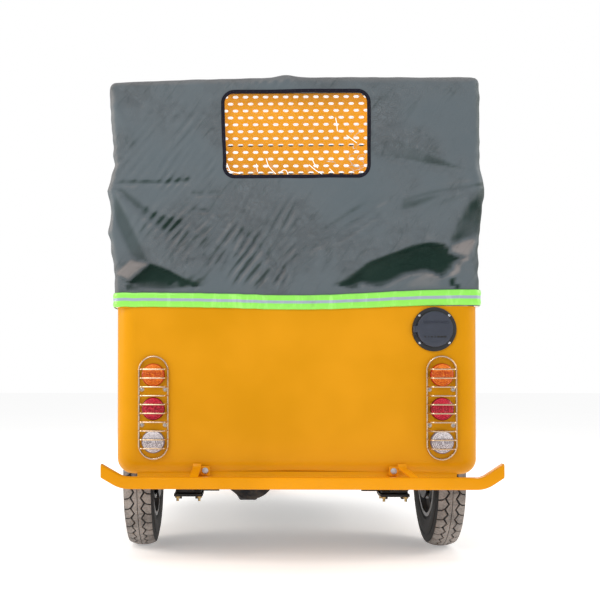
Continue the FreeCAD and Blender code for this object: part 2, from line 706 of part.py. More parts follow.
def hood_canopy():
    """Soft top: roof with side skirts, rear face with its window and the rear quarters."""
    shell = hood_form(0.0).cut(hood_form(HOOD_CLOTH))
    windscreen = block(-HOOD_KNEE_WIDTH, HOOD_KNEE_WIDTH, ROOF_FRONT - HOOD_CLOTH - 1.0, ROOF_FRONT + 1.0,
                       0.0, ROOF_SKIRT_HEIGHT)
    shell = shell.cut(side_doorways()).cut(windscreen)
    return shell.cut(window_prism(0.0, BODY_Y - 1.0, BODY_Y + HOOD_CLOTH + 1.0))


def rear_bow_y():
    """Place of the rear bow, just inside the hood's rear face."""
    return BODY_Y + HOOD_CLOTH + BOW_RADIUS + FIT + REAR_BOW_SET


def hood_bows():
    """Tube frame of the hood: rear bow, knee rail, middle bow, door posts and roof rails."""
    gap = HOOD_CLOTH + BOW_RADIUS + FIT
    belt = HOOD_BELT_WIDTH / 2.0 - gap - 1.0
    knee = HOOD_KNEE_WIDTH / 2.0 - gap - 6.0
    top = HOOD_TOP_WIDTH / 2.0 - gap
    high = ROOF_HEIGHT - ROOF_CROWN - gap - 2.0
    rear = rear_bow_y()
    corner = HOOD_CORNER + BOW_CORNER_GAP

    def bow(y, foot):
        base = foot - BOW_RADIUS
        points = [V(-belt, y, base), V(-knee, y, KNEE_HEIGHT), V(-top, y, high), V(top, y, high),
                  V(knee, y, KNEE_HEIGHT), V(belt, y, base)]
        above = block(-HOOD_KNEE_WIDTH, HOOD_KNEE_WIDTH, BODY_Y, ROOF_FRONT, foot, ROOF_HEIGHT)
        return tube(points, BOW_RADIUS, (0.0, KNEE_RADIUS, corner, corner, KNEE_RADIUS, 0.0)).common(above)

    post_y = QUARTER_END - BOW_RADIUS - 8.0
    rail = [V(-knee, post_y, KNEE_HEIGHT), V(-knee, rear, KNEE_HEIGHT), V(knee, rear, KNEE_HEIGHT),
            V(knee, post_y, KNEE_HEIGHT)]
    pieces = [bow(rear, BELT_HEIGHT), bow(post_y, BELT_HEIGHT), tube(rail, KNEE_RAIL_RADIUS, KNEE_RAIL_BEND)]
    roof_x = top - corner
    for x in (-roof_x, roof_x):
        pieces.append(rod(V(x, rear, high), V(x, ROOF_SLOPE_START, high), ROOF_RAIL_RADIUS))
    pieces.append(bow(DOOR_POST_Y, BODY_BOTTOM + SILL_HEIGHT))
    return joined(pieces)


def window_binding():
    """Binding stitched round the rear window."""
    ring = window_prism(BINDING_WIDTH, BODY_Y - BINDING_THICKNESS, BODY_Y)
    return ring.cut(window_prism(0.0, BODY_Y - BINDING_THICKNESS - 1.0, BODY_Y + 1.0))


def rear_window_pane():
    """Clear vinyl pane in the window opening."""
    middle = BODY_Y + (HOOD_CLOTH - PANE_THICKNESS) / 2.0
    return window_prism(-FIT, middle, middle + PANE_THICKNESS)


def window_grille():
    """Sheet with staggered six-sided slots behind the rear window, on brackets of the rear bow."""
    half = WINDOW_WIDTH / 2.0 + GRILLE_SIDE
    low = KNEE_HEIGHT - GRILLE_LAP
    high = WINDOW_TOP + GRILLE_HEAD
    y = rear_bow_y() + BOW_RADIUS + FIT
    border = outline(rectangle(half, low, high), GRILLE_CORNER, "XZ", y)
    face = Part.Face(border)
    rows = int((high - low - SLOT_HEIGHT * 2.0) / SLOT_ROW)
    columns = int((half * 2.0 - SLOT_PITCH) / SLOT_PITCH)
    slots = []
    for row in range(rows):
        z = (low + high) / 2.0 + (row - (rows - 1) / 2.0) * SLOT_ROW
        shift = SLOT_PITCH / 2.0 if row % 2 else 0.0
        for column in range(columns - row % 2):
            x = (column - (columns - 1) / 2.0) * SLOT_PITCH + shift
            tip = SLOT_LENGTH / 2.0
            flat = SLOT_LENGTH * 0.26
            rise = SLOT_HEIGHT / 2.0
            slot = [(x - tip, z), (x - flat, z - rise), (x + flat, z - rise), (x + tip, z),
                    (x + flat, z + rise), (x - flat, z + rise)]
            slots.append(Part.Face(outline(slot, 0.0, "XZ", y)))
    return face.cut(Part.makeCompound(slots)).extrude(V(0.0, GRILLE_SHEET, 0.0))


def reflective_strip():
    """Reflective strip round the lower edge of the hood."""
    band = block(-HALF_BODY, HALF_BODY, BODY_Y - 10.0, QUARTER_END - 12.0, BELT_HEIGHT + 2.0,
                 BELT_HEIGHT + 2.0 + STRIP_HEIGHT)
    return hood_form(-STRIP_THICKNESS).cut(hood_form(0.0)).common(band)


# Seats and inside

def seat_bases():
    """Passenger seat box with its shelf and back board, and the driver's seat box."""
    inside = HALF_BODY - WALL
    rear = BODY_Y + WALL
    back = SEAT_FRONT - SEAT_DEPTH
    lean = math.tan(math.radians(BACKREST_LEAN)) * (BACKREST_HEIGHT + 20.0)
    top = SEAT_TOP
    low = top - SEAT_SHEET
    profile = slab([
        (SEAT_FRONT, FLOOR_TOP), (SEAT_FRONT, top), (back, top), (back - lean, top + BACKREST_HEIGHT + 20.0),
        (back - lean - SEAT_SHEET, top + BACKREST_HEIGHT + 20.0), (back - SEAT_SHEET, top), (rear, top),
        (rear, low), (SEAT_FRONT - SEAT_SHEET, low), (SEAT_FRONT - SEAT_SHEET, FLOOR_TOP)],
        0.0, "YZ", -inside, inside)
    waist = BELT_HEIGHT - 60.0
    board = SEAT_WIDTH / 2.0
    beside = block(-HALF_BODY, HALF_BODY, BODY_Y, back - 1.0, waist, ROOF_HEIGHT).cut(
        block(-board, board, BODY_Y, back, waist, ROOF_HEIGHT))
    under = block(-inside, inside, BODY_Y, 0.0, FLOOR_TOP, BELT_HEIGHT).common(tub(WALL))
    over = block(-inside, inside, BODY_Y, 0.0, BELT_HEIGHT, ROOF_HEIGHT)
    passenger = profile.cut(beside).common(under.fuse(over))
    half = DRIVER_SEAT_WIDTH / 2.0 - 20.0
    front = DRIVER_SEAT_FRONT - 30.0
    end = front - DRIVER_SEAT_DEPTH
    high = DRIVER_SEAT_TOP
    box = slab([(front, FLOOR_TOP), (front + SEAT_SHEET, high), (end, high), (end, FLOOR_TOP)],
               (0.0, 10.0, 10.0, 0.0), "YZ", -half, half)
    hollow = block(SEAT_SHEET - half, half - SEAT_SHEET, end + SEAT_SHEET, front - SEAT_SHEET, FLOOR_TOP,
                   high - SEAT_SHEET)
    return Part.makeCompound([passenger, box.cut(hollow)])


def cushion(width, y0, y1, z0, z1, rounding):
    """Plain closed form of a seat cushion, rounded along its upper edges."""
    return slab([(y0, z0), (y1, z0), (y1, z1), (y0, z1)], (6.0, 6.0, rounding, rounding), "YZ", -width / 2.0,
                width / 2.0)


def passenger_seat_cushion():
    """Bench cushion on the passenger seat box."""
    back = SEAT_FRONT - SEAT_DEPTH + BACKREST_THICKNESS + 12.0
    return cushion(SEAT_WIDTH, back, SEAT_FRONT + 14.0, SEAT_TOP + FIT, SEAT_TOP + CUSHION_THICKNESS, 38.0)


def passenger_backrest():
    """Bench backrest, leaning on its board."""
    foot = V(0.0, SEAT_FRONT - SEAT_DEPTH, SEAT_TOP)
    pad = cushion(SEAT_WIDTH - 20.0, foot.y + FIT, foot.y + BACKREST_THICKNESS, foot.z + 22.0,
                  foot.z + BACKREST_HEIGHT, 34.0)
    pad.rotate(foot, V(1.0, 0.0, 0.0), BACKREST_LEAN)
    return pad


def driver_seat_cushion():
    """Driver's seat cushion."""
    front = DRIVER_SEAT_FRONT - 30.0
    return cushion(DRIVER_SEAT_WIDTH, front - DRIVER_SEAT_DEPTH, front + 34.0, DRIVER_SEAT_TOP + FIT,
                   DRIVER_SEAT_TOP + DRIVER_CUSHION_THICKNESS, 34.0)


def driver_backrest():
    """Small backrest held by the rails behind the driver."""
    rear = DOOR_POST_Y + RAIL_TUBE + FIT
    low = DRIVER_SEAT_TOP + DRIVER_BACK_LOW
    high = DRIVER_SEAT_TOP + DRIVER_BACK_HIGH
    return cushion(DRIVER_SEAT_WIDTH - 40.0, rear, rear + DRIVER_BACK_THICKNESS, low, high, 26.0)


def cabin_rails():
    """Rails between the door posts behind the driver, with their uprights to the floor."""
    gap = HOOD_CLOTH + BOW_RADIUS + FIT
    low = DRIVER_SEAT_TOP + CABIN_RAIL_LOW
    high = DRIVER_SEAT_TOP + CABIN_RAIL_HIGH
    inner = HOOD_BELT_WIDTH / 2.0 - gap - BOW_RADIUS * 3.2
    frame = [V(-inner, DOOR_POST_Y, FLOOR_TOP), V(-inner, DOOR_POST_Y, high), V(inner, DOOR_POST_Y, high),
             V(inner, DOOR_POST_Y, FLOOR_TOP)]
    pieces = [tube(frame, RAIL_TUBE, CABIN_RAIL_BEND)]
    pieces.append(rod(V(-inner, DOOR_POST_Y, low), V(inner, DOOR_POST_Y, low), RAIL_TUBE))
    return joined(pieces)


def battery_pack():
    """Battery block under the passenger seat, beside the motor's recess."""
    front = SEAT_FRONT - SEAT_SHEET - BATTERY_GAP
    left = DIFF_OFFSET + MOTOR_RADIUS + BATTERY_GAP
    right = left + BATTERY_WIDTH
    return block(left, right, front - BATTERY_DEPTH, front, FLOOR_TOP, FLOOR_TOP + BATTERY_HEIGHT)


# Chassis and rear axle

def head_tube():
    """Steering head tube along the steering axis."""
    low = steering_point(HEAD_LOW)
    high = steering_point(HEAD_HIGH)
    outer = rod(low, high, STEM_RADIUS + HEAD_TUBE_WALL)
    return outer.cut(rod(low, high, STEM_RADIUS + FIT))


def chassis_frame():
    """Ladder frame under the floor, kicked up over the axle, with the steering head on its struts."""
    top = BODY_BOTTOM
    low = top - RAIL_DEPTH
    rear = BODY_Y + SKIRT_LIP + 6.0
    rise_foot = REAR_AXLE_Y + KICK_FOOT
    rise_top = REAR_AXLE_Y + KICK_TOP
    kick = RAIL_KICK
    rail = slab([(rise_foot, low), (COWL_REAR - 60.0, low), (COWL_REAR - 20.0, top), (rise_foot + 10.0, top),
                 (rise_top + 14.0, top + kick), (rear, top + kick), (rear, low + kick),
                 (rise_top - 14.0, low + kick)],
                (50.0, 0.0, 0.0, 50.0, 40.0, 0.0, 0.0, 40.0), "YZ", RAIL_SPREAD - RAIL_WIDTH / 2.0,
                RAIL_SPREAD + RAIL_WIDTH / 2.0)
    pieces = [rail, mirrored(rail)]
    inner = RAIL_SPREAD - RAIL_WIDTH / 2.0
    for y, z in ((rear, low + kick), (QUARTER_FOOT - 170.0, low), (-100.0, low), (COWL_REAR - 170.0, low)):
        pieces.append(block(-inner, inner, y, y + RAIL_WIDTH, z + 8.0, z + RAIL_DEPTH))
    head = steering_point((HEAD_LOW + HEAD_HIGH) / 2.0)
    reach = STEM_RADIUS + HEAD_TUBE_WALL - 4.0
    bore = steering_tunnel(STEM_RADIUS + HEAD_TUBE_WALL - 1.0)
    above_floor = block(-HALF_BODY, HALF_BODY, 0.0, FRONT_AXLE_Y, FLOOR_TOP, COWL_TOP)
    struts = []
    for side in (-1.0, 1.0):
        foot = V(side * 70.0, COWL_REAR - 70.0, FLOOR_TOP)
        along = (head - foot).normalize()
        strut = rod(foot - along * 20.0, head + V(side * reach, 0.0, 0.0), 13.0)
        struts.append(strut.common(above_floor).cut(bore))
    return Part.makeCompound([joined(pieces), joined([head_tube()] + struts)])


def rear_axle():
    """Axle tube with the offset differential housing and the brake back plates."""
    centre = V(0.0, REAR_AXLE_Y, TYRE_RADIUS)
    reach = TRACK / 2.0 - DRUM_WIDTH - 8.0
    casing = rod(centre - V(reach, 0.0, 0.0), centre + V(reach, 0.0, 0.0), AXLE_TUBE_RADIUS)
    half = DIFF_WIDTH / 2.0
    housing = revolve([
        (DIFF_OFFSET - half - 60.0, 5.0), (DIFF_OFFSET - half - 60.0, AXLE_TUBE_RADIUS + 8.0),
        (DIFF_OFFSET - half, DIFF_RADIUS - 22.0), (DIFF_OFFSET - half + 14.0, DIFF_RADIUS),
        (DIFF_OFFSET + half - 14.0, DIFF_RADIUS), (DIFF_OFFSET + half, DIFF_RADIUS - 22.0),
        (DIFF_OFFSET + half + 60.0, AXLE_TUBE_RADIUS + 8.0), (DIFF_OFFSET + half + 60.0, 5.0)],
        (0.0, 8.0, 14.0, 10.0, 10.0, 14.0, 8.0, 0.0), centre)
    pieces = [casing, housing]
    for side in (-1.0, 1.0):
        plate = centre + V(side * reach, 0.0, 0.0)
        pieces.append(rod(plate - V(side * 8.0, 0.0, 0.0), plate, DRUM_RADIUS - 4.0))
        spindle = centre + V(side * (TRACK / 2.0 + HUB_BORE_DEPTH - 1.0), 0.0, 0.0)
        pieces.append(rod(plate, spindle, REAR_SPINDLE))
    return joined(pieces)


def drive_motor():
    """Drive motor on the front of the differential."""
    centre = V(DIFF_OFFSET, REAR_AXLE_Y, TYRE_RADIUS)
    start = centre + V(0.0, DIFF_RADIUS + FIT, 0.0)
    face = start + V(0.0, 26.0, 0.0)
    end = face + V(0.0, MOTOR_LENGTH, 0.0)
    body = rod(face, end, MOTOR_RADIUS)
    neck = rod(start, face, 48.0)
    cap = Part.makeCone(MOTOR_RADIUS - 14.0, 50.0, 22.0, end, V(0.0, 1.0, 0.0))
    return joined([neck, body, cap])


def leaf_arc(index, length):
    """One leaf: a bent strip of the pack."""
    top = TYRE_RADIUS - AXLE_TUBE_RADIUS - index * LEAF_THICKNESS
    half = length / 2.0
    rise = LEAF_CAMBER * (length / LEAF_LENGTH) ** 2
    y = REAR_AXLE_Y
    x = SPRING_SPREAD - LEAF_WIDTH / 2.0
    t = LEAF_THICKNESS
    high = top + rise
    upper = Part.Arc(V(x, y - half, high), V(x, y, top), V(x, y + half, high)).toShape()
    lower = Part.Arc(V(x, y + half, high - t), V(x, y, top - t), V(x, y - half, high - t)).toShape()
    ends = [Part.LineSegment(V(x, y + half, high), V(x, y + half, high - t)).toShape(),
            Part.LineSegment(V(x, y - half, high - t), V(x, y - half, high)).toShape()]
    return Part.Face(Part.Wire([upper, ends[0], lower, ends[1]])).extrude(V(LEAF_WIDTH, 0.0, 0.0))


def spring_ends():
    """Eyes of the main leaf, the pin of the front one and the shackle of the rear one."""
    z = TYRE_RADIUS - AXLE_TUBE_RADIUS + LEAF_CAMBER - LEAF_THICKNESS / 2.0
    inner = SPRING_SPREAD - LEAF_WIDTH / 2.0
    outer = SPRING_SPREAD + LEAF_WIDTH / 2.0
    rail_side = RAIL_SPREAD + RAIL_WIDTH / 2.0
    reach = LEAF_LENGTH / 2.0 + SPRING_EYE / 2.0
    front = REAR_AXLE_Y + reach
    rear = REAR_AXLE_Y - reach
    pivot = BODY_BOTTOM - RAIL_DEPTH / 2.0 + RAIL_KICK
    pieces = [rod(V(inner, y, z), V(outer, y, z), SPRING_EYE) for y in (front, rear)]
    pieces.append(rod(V(rail_side, front, z), V(outer + SHACKLE, front, z), SPRING_PIN))
    pieces.append(rod(V(rail_side, rear, pivot), V(outer + SHACKLE, rear, pivot), SPRING_PIN))
    for x in (inner - SHACKLE, outer):
        pieces.append(slab([(rear - SPRING_EYE, z - SPRING_EYE), (rear + SPRING_EYE, z - SPRING_EYE),
                            (rear + SPRING_EYE, pivot + SPRING_EYE), (rear - SPRING_EYE, pivot + SPRING_EYE)],
                           SPRING_EYE - 1.0, "YZ", x, x + SHACKLE))
    return pieces


def spring_clamps(low):
    """U-bolts over the axle tube, with the plate and nuts under the leaves."""
    x = SPRING_SPREAD
    half = PLATE_SIZE / 2.0
    under = low - PLATE_THICKNESS
    pieces = [block(x - half, x + half, REAR_AXLE_Y - half, REAR_AXLE_Y + half, under, low)]
    arch = AXLE_TUBE_RADIUS + UBOLT_RADIUS + FIT
    end = under - 24.0
    for side in (-1.0, 1.0):
        side_x = x + side * (LEAF_WIDTH / 2.0 + UBOLT_RADIUS + 1.0)
        legs = [V(side_x, REAR_AXLE_Y - arch, end), V(side_x, REAR_AXLE_Y - arch, TYRE_RADIUS + arch),
                V(side_x, REAR_AXLE_Y + arch, TYRE_RADIUS + arch), V(side_x, REAR_AXLE_Y + arch, end)]
        pieces.append(tube(legs, UBOLT_RADIUS, arch - 1.0))
        for y in (REAR_AXLE_Y - arch, REAR_AXLE_Y + arch):
            pieces.append(rod(V(side_x, y, under - 14.0), V(side_x, y, under), UBOLT_RADIUS + 4.0))
    return pieces


def damper(low):
    """Damper between the spring plate and the rail."""
    foot = V(DAMPER_SPREAD, REAR_AXLE_Y + 40.0, low - PLATE_THICKNESS / 2.0)
    head = V(DAMPER_SPREAD, REAR_AXLE_Y + 112.0, BODY_BOTTOM - RAIL_DEPTH / 2.0 + RAIL_KICK)
    joint = foot + (head - foot) * 0.55
    plate_side = SPRING_SPREAD - PLATE_SIZE / 2.0
    rail_side = RAIL_SPREAD - RAIL_WIDTH / 2.0
    return [rod(foot, joint, DAMPER_RADIUS), rod(joint, head, DAMPER_RADIUS / 2.0),
            rod(foot - V(12.0, 0.0, 0.0), V(plate_side, foot.y, foot.z), SPRING_PIN),
            rod(head - V(8.0, 0.0, 0.0), V(rail_side, head.y, head.z), SPRING_PIN)]


def rear_suspension():
    """Leaf springs under the axle with U-bolts, plates, eyes, pins and shackles, and the dampers."""
    pieces = [leaf_arc(i, LEAF_LENGTH * (1.0 - 0.2 * i)) for i in range(LEAVES)]
    low = TYRE_RADIUS - AXLE_TUBE_RADIUS - LEAVES * LEAF_THICKNESS
    return both_sides(joined(pieces + spring_ends() + spring_clamps(low) + damper(low)))


def rear_bumper():
    """Square tube bumper with upturned ends and struts to the chassis."""
    half = BUMPER_FACE / 2.0
    bend = BUMPER_BEND / 2.0
    tip = BUMPER_WIDTH / 2.0
    slope = math.atan2(BUMPER_RISE, tip - bend)
    shift = half * math.tan(slope / 2.0)
    nx = half * math.sin(slope)
    nz = half * math.cos(slope)
    z = BUMPER_HEIGHT
    end_z = z + BUMPER_RISE - nz + half
    points = [(-tip, end_z - half), (-bend - shift, z - half), (bend + shift, z - half), (tip, end_z - half),
              (tip - 2.0 * nx, end_z - half + 2.0 * nz), (bend - shift, z + half), (shift - bend, z + half),
              (2.0 * nx - tip, end_z - half + 2.0 * nz)]
    radii = (4.0, 40.0, 40.0, 4.0, 4.0, 16.0, 16.0, 4.0)
    beam = slab(points, radii, "XZ", BUMPER_Y, BUMPER_Y + BUMPER_DEPTH)
    front = BUMPER_Y + BUMPER_DEPTH
    pieces = [beam]
    under_rail = BODY_BOTTOM + RAIL_KICK - RAIL_DEPTH
    leg = BODY_Y + SKIRT_LIP + 8.0
    top = BODY_BOTTOM - 4.0
    side = [(front, z - 14.0), (front, z + 14.0), (BODY_Y + 40.0, top), (leg, top), (leg, under_rail),
            (leg + 46.0, under_rail), (leg + 46.0, top - 10.0)]
    strut = slab(side, 0.0, "YZ", RAIL_SPREAD - STRUT_WIDTH / 2.0, RAIL_SPREAD + STRUT_WIDTH / 2.0)
    pieces += [strut, mirrored(strut)]
    return joined(pieces)


# Lamps and charging port

def lamp_disc(x, z, radius, start, depth):
    """Round plate facing the rear."""
    return Part.makeCylinder(radius, depth, V(x, start - depth, z), V(0.0, 1.0, 0.0))


def lens(x, z):
    """Domed lens of a rear lamp."""
    base = BODY_Y - LAMP_BACK
    dome = LAMP_RADIUS * LENS_CURVE
    body = lamp_disc(x, z, LAMP_RADIUS, base, LENS_DEPTH)
    return body.common(Part.makeSphere(dome, V(x, base - LENS_DEPTH + dome, z)))


def lens_pair(height):
    """Left and right lens at one height."""
    return both_sides(lens(LAMP_SPREAD / 2.0, height))


def lamp_housings():
    """Round backs of the rear lamps."""
    x = LAMP_SPREAD / 2.0
    pieces = [lamp_disc(x, z, LAMP_RADIUS + 5.0, BODY_Y, LAMP_BACK) for z in LAMP_HEIGHTS]
    return both_sides(Part.makeCompound(pieces))


def stadium(x, mid, half, tall, start, end):
    """Upright form with round ends, facing the rear."""
    return slab(rectangle(half, mid - tall, mid + tall, x), half - 0.01, "XZ", start, end)


def lamp_guards():
    """Guards over the stacked rear lamps: a round-ended frame, bowed rungs and feet on the panel."""
    x = LAMP_SPREAD / 2.0
    half = LAMP_GUARD_WIDTH / 2.0
    tall = LAMP_GUARD_HEIGHT / 2.0
    mid = (LAMP_HEIGHTS[0] + LAMP_HEIGHTS[-1]) / 2.0
    bar = LAMP_GUARD_BAR
    back = BODY_Y - bar - 1.0
    ring = stadium(x, mid, half, tall, back - bar, back).cut(
        stadium(x, mid, half - bar, tall - bar, back - bar - 1.0, back + 1.0))
    pieces = [ring]
    step = (2.0 * tall - half) / (LAMP_GUARD_RUNGS - 1)
    front = BODY_Y - LAMP_GUARD_STANDOFF
    for i in range(LAMP_GUARD_RUNGS):
        z = mid - tall + half / 2.0 + step * i
        over = max(abs(z - mid) - (tall - half), 0.0)
        width = math.sqrt(half * half - over * over) - 1.0
        thin = bar * 0.8
        bow = width * 0.7
        foot = back - 1.0
        rung = [(x - width, foot), (x - width + thin, foot), (x - bow + thin, front + thin),
                (x + bow - thin, front + thin), (x + width - thin, foot), (x + width, foot), (x + bow, front),
                (x - bow, front)]
        radii = (0.0, 0.0, 6.0, 6.0, 0.0, 0.0, 10.0, 10.0)
        pieces.append(slab(rung, radii, "XY", z - thin / 2.0, z + thin / 2.0))
    for side in (-1.0, 1.0):
        for z in (mid + foot for foot in LAMP_GUARD_FEET):
            edge = x + side * (half - bar / 2.0)
            inner = edge - side * LAMP_GUARD_FOOT
            pieces.append(block(min(edge, inner), max(edge, inner), back - bar, BODY_Y, z - 8.0, z + 8.0))
    return both_sides(joined(pieces))


def charge_port():
    """Flange and cup of the charging port, with the hinge pin of its flap."""
    centre = V(PORT_X, BODY_Y, PORT_HEIGHT)
    flange = lamp_disc(PORT_X, PORT_HEIGHT, PORT_RADIUS, BODY_Y, PORT_FLANGE)
    cup = rod(centre, centre + V(0.0, WALL + 26.0, 0.0), PORT_RADIUS - PORT_RING - FIT)
    bore = rod(centre - V(0.0, 10.0, 0.0), centre + V(0.0, WALL + 20.0, 0.0), PORT_RADIUS - PORT_RING - 6.0)
    socket = rod(centre + V(0.0, WALL - 14.0, 0.0), centre + V(0.0, WALL + 22.0, 0.0), 31.0)
    pin_spot = flap_hinge()
    pin = rod(pin_spot - V(0.0, 0.0, 20.0), pin_spot + V(0.0, 0.0, 20.0), HINGE_PIN_RADIUS)
    ears = []
    for side in (-1.0, 1.0):
        z = PORT_HEIGHT + side * HINGE_EAR
        ears.append(block(pin_spot.x - 5.0, pin_spot.x + 5.0, pin_spot.y - 4.0, BODY_Y, z - 3.0, z + 3.0))
    body = joined([flange, cup])
    return joined([body.cut(bore), socket, pin] + ears)


def flap_hinge():
    """Middle of the flap's hinge pin."""
    return V(PORT_X - PORT_RADIUS + 6.0, BODY_Y - PORT_FLANGE - FLAP_THICKNESS / 2.0, PORT_HEIGHT)


def charge_flap():
    """Round flap of the charging port with its hinge barrel and a raised ridge."""
    start = BODY_Y - PORT_FLANGE - FIT * 3.0
    disc = lamp_disc(PORT_X, PORT_HEIGHT, FLAP_RADIUS, start, FLAP_THICKNESS - 3.0)
    shoulder = V(PORT_X, start - FLAP_THICKNESS + 3.0, PORT_HEIGHT)
    cap = Part.makeCone(FLAP_RADIUS, FLAP_RADIUS - 8.0, 3.0, shoulder, V(0.0, -1.0, 0.0))
    ridge = block(PORT_X - 44.0, PORT_X + 44.0, start - FLAP_THICKNESS - 3.0, start - FLAP_THICKNESS + 1.0,
                  PORT_HEIGHT + 6.0, PORT_HEIGHT + 14.0)
    pin_spot = flap_hinge()
    barrel = rod(pin_spot - V(0.0, 0.0, 12.0), pin_spot + V(0.0, 0.0, 12.0), HINGE_BARREL_RADIUS)
    arm = block(pin_spot.x, PORT_X - FLAP_RADIUS + 12.0, pin_spot.y - 3.0, pin_spot.y + 3.0,
                PORT_HEIGHT - 12.0, PORT_HEIGHT + 12.0)
    bore = rod(pin_spot - V(0.0, 0.0, 13.0), pin_spot + V(0.0, 0.0, 13.0), HINGE_PIN_RADIUS + FIT)
    return joined([disc, cap, ridge, barrel, arm]).cut(bore)


# Front lamps and mirrors

def cowl_surface(x, z):
    """Point of the cowl's outer face in front of a place."""
    probe = Part.makeLine(V(x, COWL_REAR - 50.0, z), V(x, FRONT_AXLE_Y + GUARD_RADIUS, z))
    return max(vertex.Y for vertex in probe.common(cowl_form(0.0)).Vertexes)


def headlamps():
    """Round headlamps in bezels on the cowl."""
    x = HEADLAMP_SPREAD / 2.0
    y = cowl_surface(x, HEADLAMP_HEIGHT)
    face = V(x, y + HEADLAMP_REACH, HEADLAMP_HEIGHT)
    shell = rod(V(x, y - HEADLAMP_RADIUS, HEADLAMP_HEIGHT), face, HEADLAMP_RADIUS)
    bezel = Part.makeCone(HEADLAMP_RADIUS, HEADLAMP_RADIUS - 14.0, HEADLAMP_BEZEL, face, V(0.0, 1.0, 0.0))
    lamp = joined([shell, bezel]).cut(cowl_form(0.0))
    return both_sides(lamp)


def front_indicators():
    """Amber lenses of the front indicators, outside the headlamps."""
    x = COWL_TOP_WIDTH / 2.0 - INDICATOR_SET
    z = HEADLAMP_HEIGHT + INDICATOR_RISE
    y = cowl_surface(x, z)
    bulb = rod(V(x, y - 60.0, z), V(x, y + INDICATOR_REACH, z), INDICATOR_RADIUS).cut(cowl_form(0.0))
    return both_sides(bulb)


def mirrors():
    """Round-cornered mirrors on stalks at the windshield frame."""
    half = SCREEN_WIDTH / 2.0
    share = 0.3
    y = COWL_TOP_NOSE - SCREEN_SET - SCREEN_SAG - SCREEN_FRAME / 2.0 - SCREEN_LEAN * share
    base = V(half, y, COWL_TOP + share * (SCREEN_TOP - COWL_TOP))
    head = base + V(92.0, 18.0, 60.0)
    stalk = tube([base, base + V(50.0, 4.0, 6.0), head], 6.0, 20.0)
    face = [(head.x - 8.0, head.z - 85.0), (head.x + 92.0, head.z - 78.0), (head.x + 84.0, head.z + 70.0),
            (head.x - 4.0, head.z + 76.0)]
    glass = slab(face, 22.0, "XZ", head.y - 8.0, head.y + 14.0)
    return both_sides(joined([stalk, glass]).cut(windshield_frame()))


# Steering

def steering_fork():
    """Fork with its stem through the steering head, lower yoke, blades and axle."""
    axle = V(0.0, FRONT_AXLE_Y, TYRE_RADIUS)
    low = steering_point(FORK_CROWN)
    stem = rod(low, steering_point(BAR_HEIGHT) - STEER_AXIS * CLAMP_REACH, STEM_RADIUS)
    yoke = rod(low - STEER_AXIS * 26.0, low, 30.0)
    arms = []
    spread = FORK_SPREAD
    crown = low - STEER_AXIS * 13.0
    for side in (-1.0, 1.0):
        shoulder = crown + V(side * spread, 0.0, 0.0)
        arms.append(tube([crown, shoulder, V(side * spread, axle.y, axle.z)], FORK_BLADE_RADIUS, 40.0))
        hub_end = V(side * spread, axle.y, axle.z)
        arms.append(rod(hub_end - V(16.0, 0.0, 0.0), hub_end + V(16.0, 0.0, 0.0), 26.0))
    spindle = rod(axle - V(spread, 0.0, 0.0), axle + V(spread, 0.0, 0.0), FRONT_SPINDLE)
    return joined([stem, yoke, spindle] + arms)


def axle_bore():
    """Bore of the front hub, right through."""
    axle = V(0.0, FRONT_AXLE_Y, TYRE_RADIUS)
    return rod(axle - V(FORK_SPREAD, 0.0, 0.0), axle + V(FORK_SPREAD, 0.0, 0.0), FRONT_SPINDLE + FIT)


def bar_end(side):
    """End of the handlebar on one side, and the direction towards it."""
    middle = steering_point(BAR_HEIGHT)
    end = V(side * BAR_HALF_WIDTH, middle.y - BAR_SWEEP, BAR_HEIGHT - 12.0)
    knee = V(side * 130.0, middle.y - 6.0, BAR_HEIGHT + 6.0)
    return end, knee


def handlebar():
    """Swept handlebar in its clamp on the stem."""
    middle = steering_point(BAR_HEIGHT)
    left, left_knee = bar_end(-1.0)
    right, right_knee = bar_end(1.0)
    bar = tube([left, left_knee, right_knee, right], BAR_RADIUS, 90.0)
    clamp = rod(middle - STEER_AXIS * CLAMP_REACH, middle + STEER_AXIS * CLAMP_REACH, STEM_RADIUS + 8.0)
    return joined([bar, clamp])


def grips():
    """Rubber grips on the ends of the handlebar."""
    pieces = []
    for side in (-1.0, 1.0):
        end, knee = bar_end(side)
        along = (end - knee).normalize()
        start = end - along * (GRIP_LENGTH - 6.0)
        sleeve = rod(start, end + along * 6.0, GRIP_RADIUS)
        pieces.append(sleeve.cut(rod(start - along, end, BAR_RADIUS)))
    return Part.makeCompound(pieces)


def front_mudguard():
    """Arched mudguard over the front wheel, carried by the fork's blades."""
    axle = V(0.0, FRONT_AXLE_Y, TYRE_RADIUS)
    half = GUARD_WIDTH / 2.0
    sheet = GUARD_SHEET
    outer = GUARD_RADIUS
    profile = [(-half, outer - 46.0), (-half, outer - 16.0), (-half * 0.62, outer), (half * 0.62, outer),
               (half, outer - 16.0), (half, outer - 46.0), (half - sheet, outer - 46.0),
               (half - sheet, outer - 18.0), (half * 0.6, outer - sheet), (-half * 0.6, outer - sheet),
               (sheet - half, outer - 18.0), (sheet - half, outer - 46.0)]
    radii = (0.0, 16.0, 24.0, 24.0, 16.0, 0.0, 0.0, 13.0, 20.0, 20.0, 13.0, 0.0)
    path = outline([(u, v + axle.z) for u, v in profile], radii, "XZ", axle.y)
    face = Part.Face(path)
    face.rotate(axle, V(1.0, 0.0, 0.0), -90.0 + GUARD_FRONT_ANGLE)
    guard = face.revolve(axle, V(1.0, 0.0, 0.0), GUARD_REAR_ANGLE - GUARD_FRONT_ANGLE)
    crown = steering_point(FORK_CROWN)
    spot = axle + (crown - axle).normalize() * (outer - 24.0)
    stays = [rod(spot + V(side * (half - sheet), 0.0, 0.0), spot + V(side * FORK_SPREAD, 0.0, 0.0), 9.0)
             for side in (-1.0, 1.0)]
    return joined([guard] + stays).cut(steering_fork())


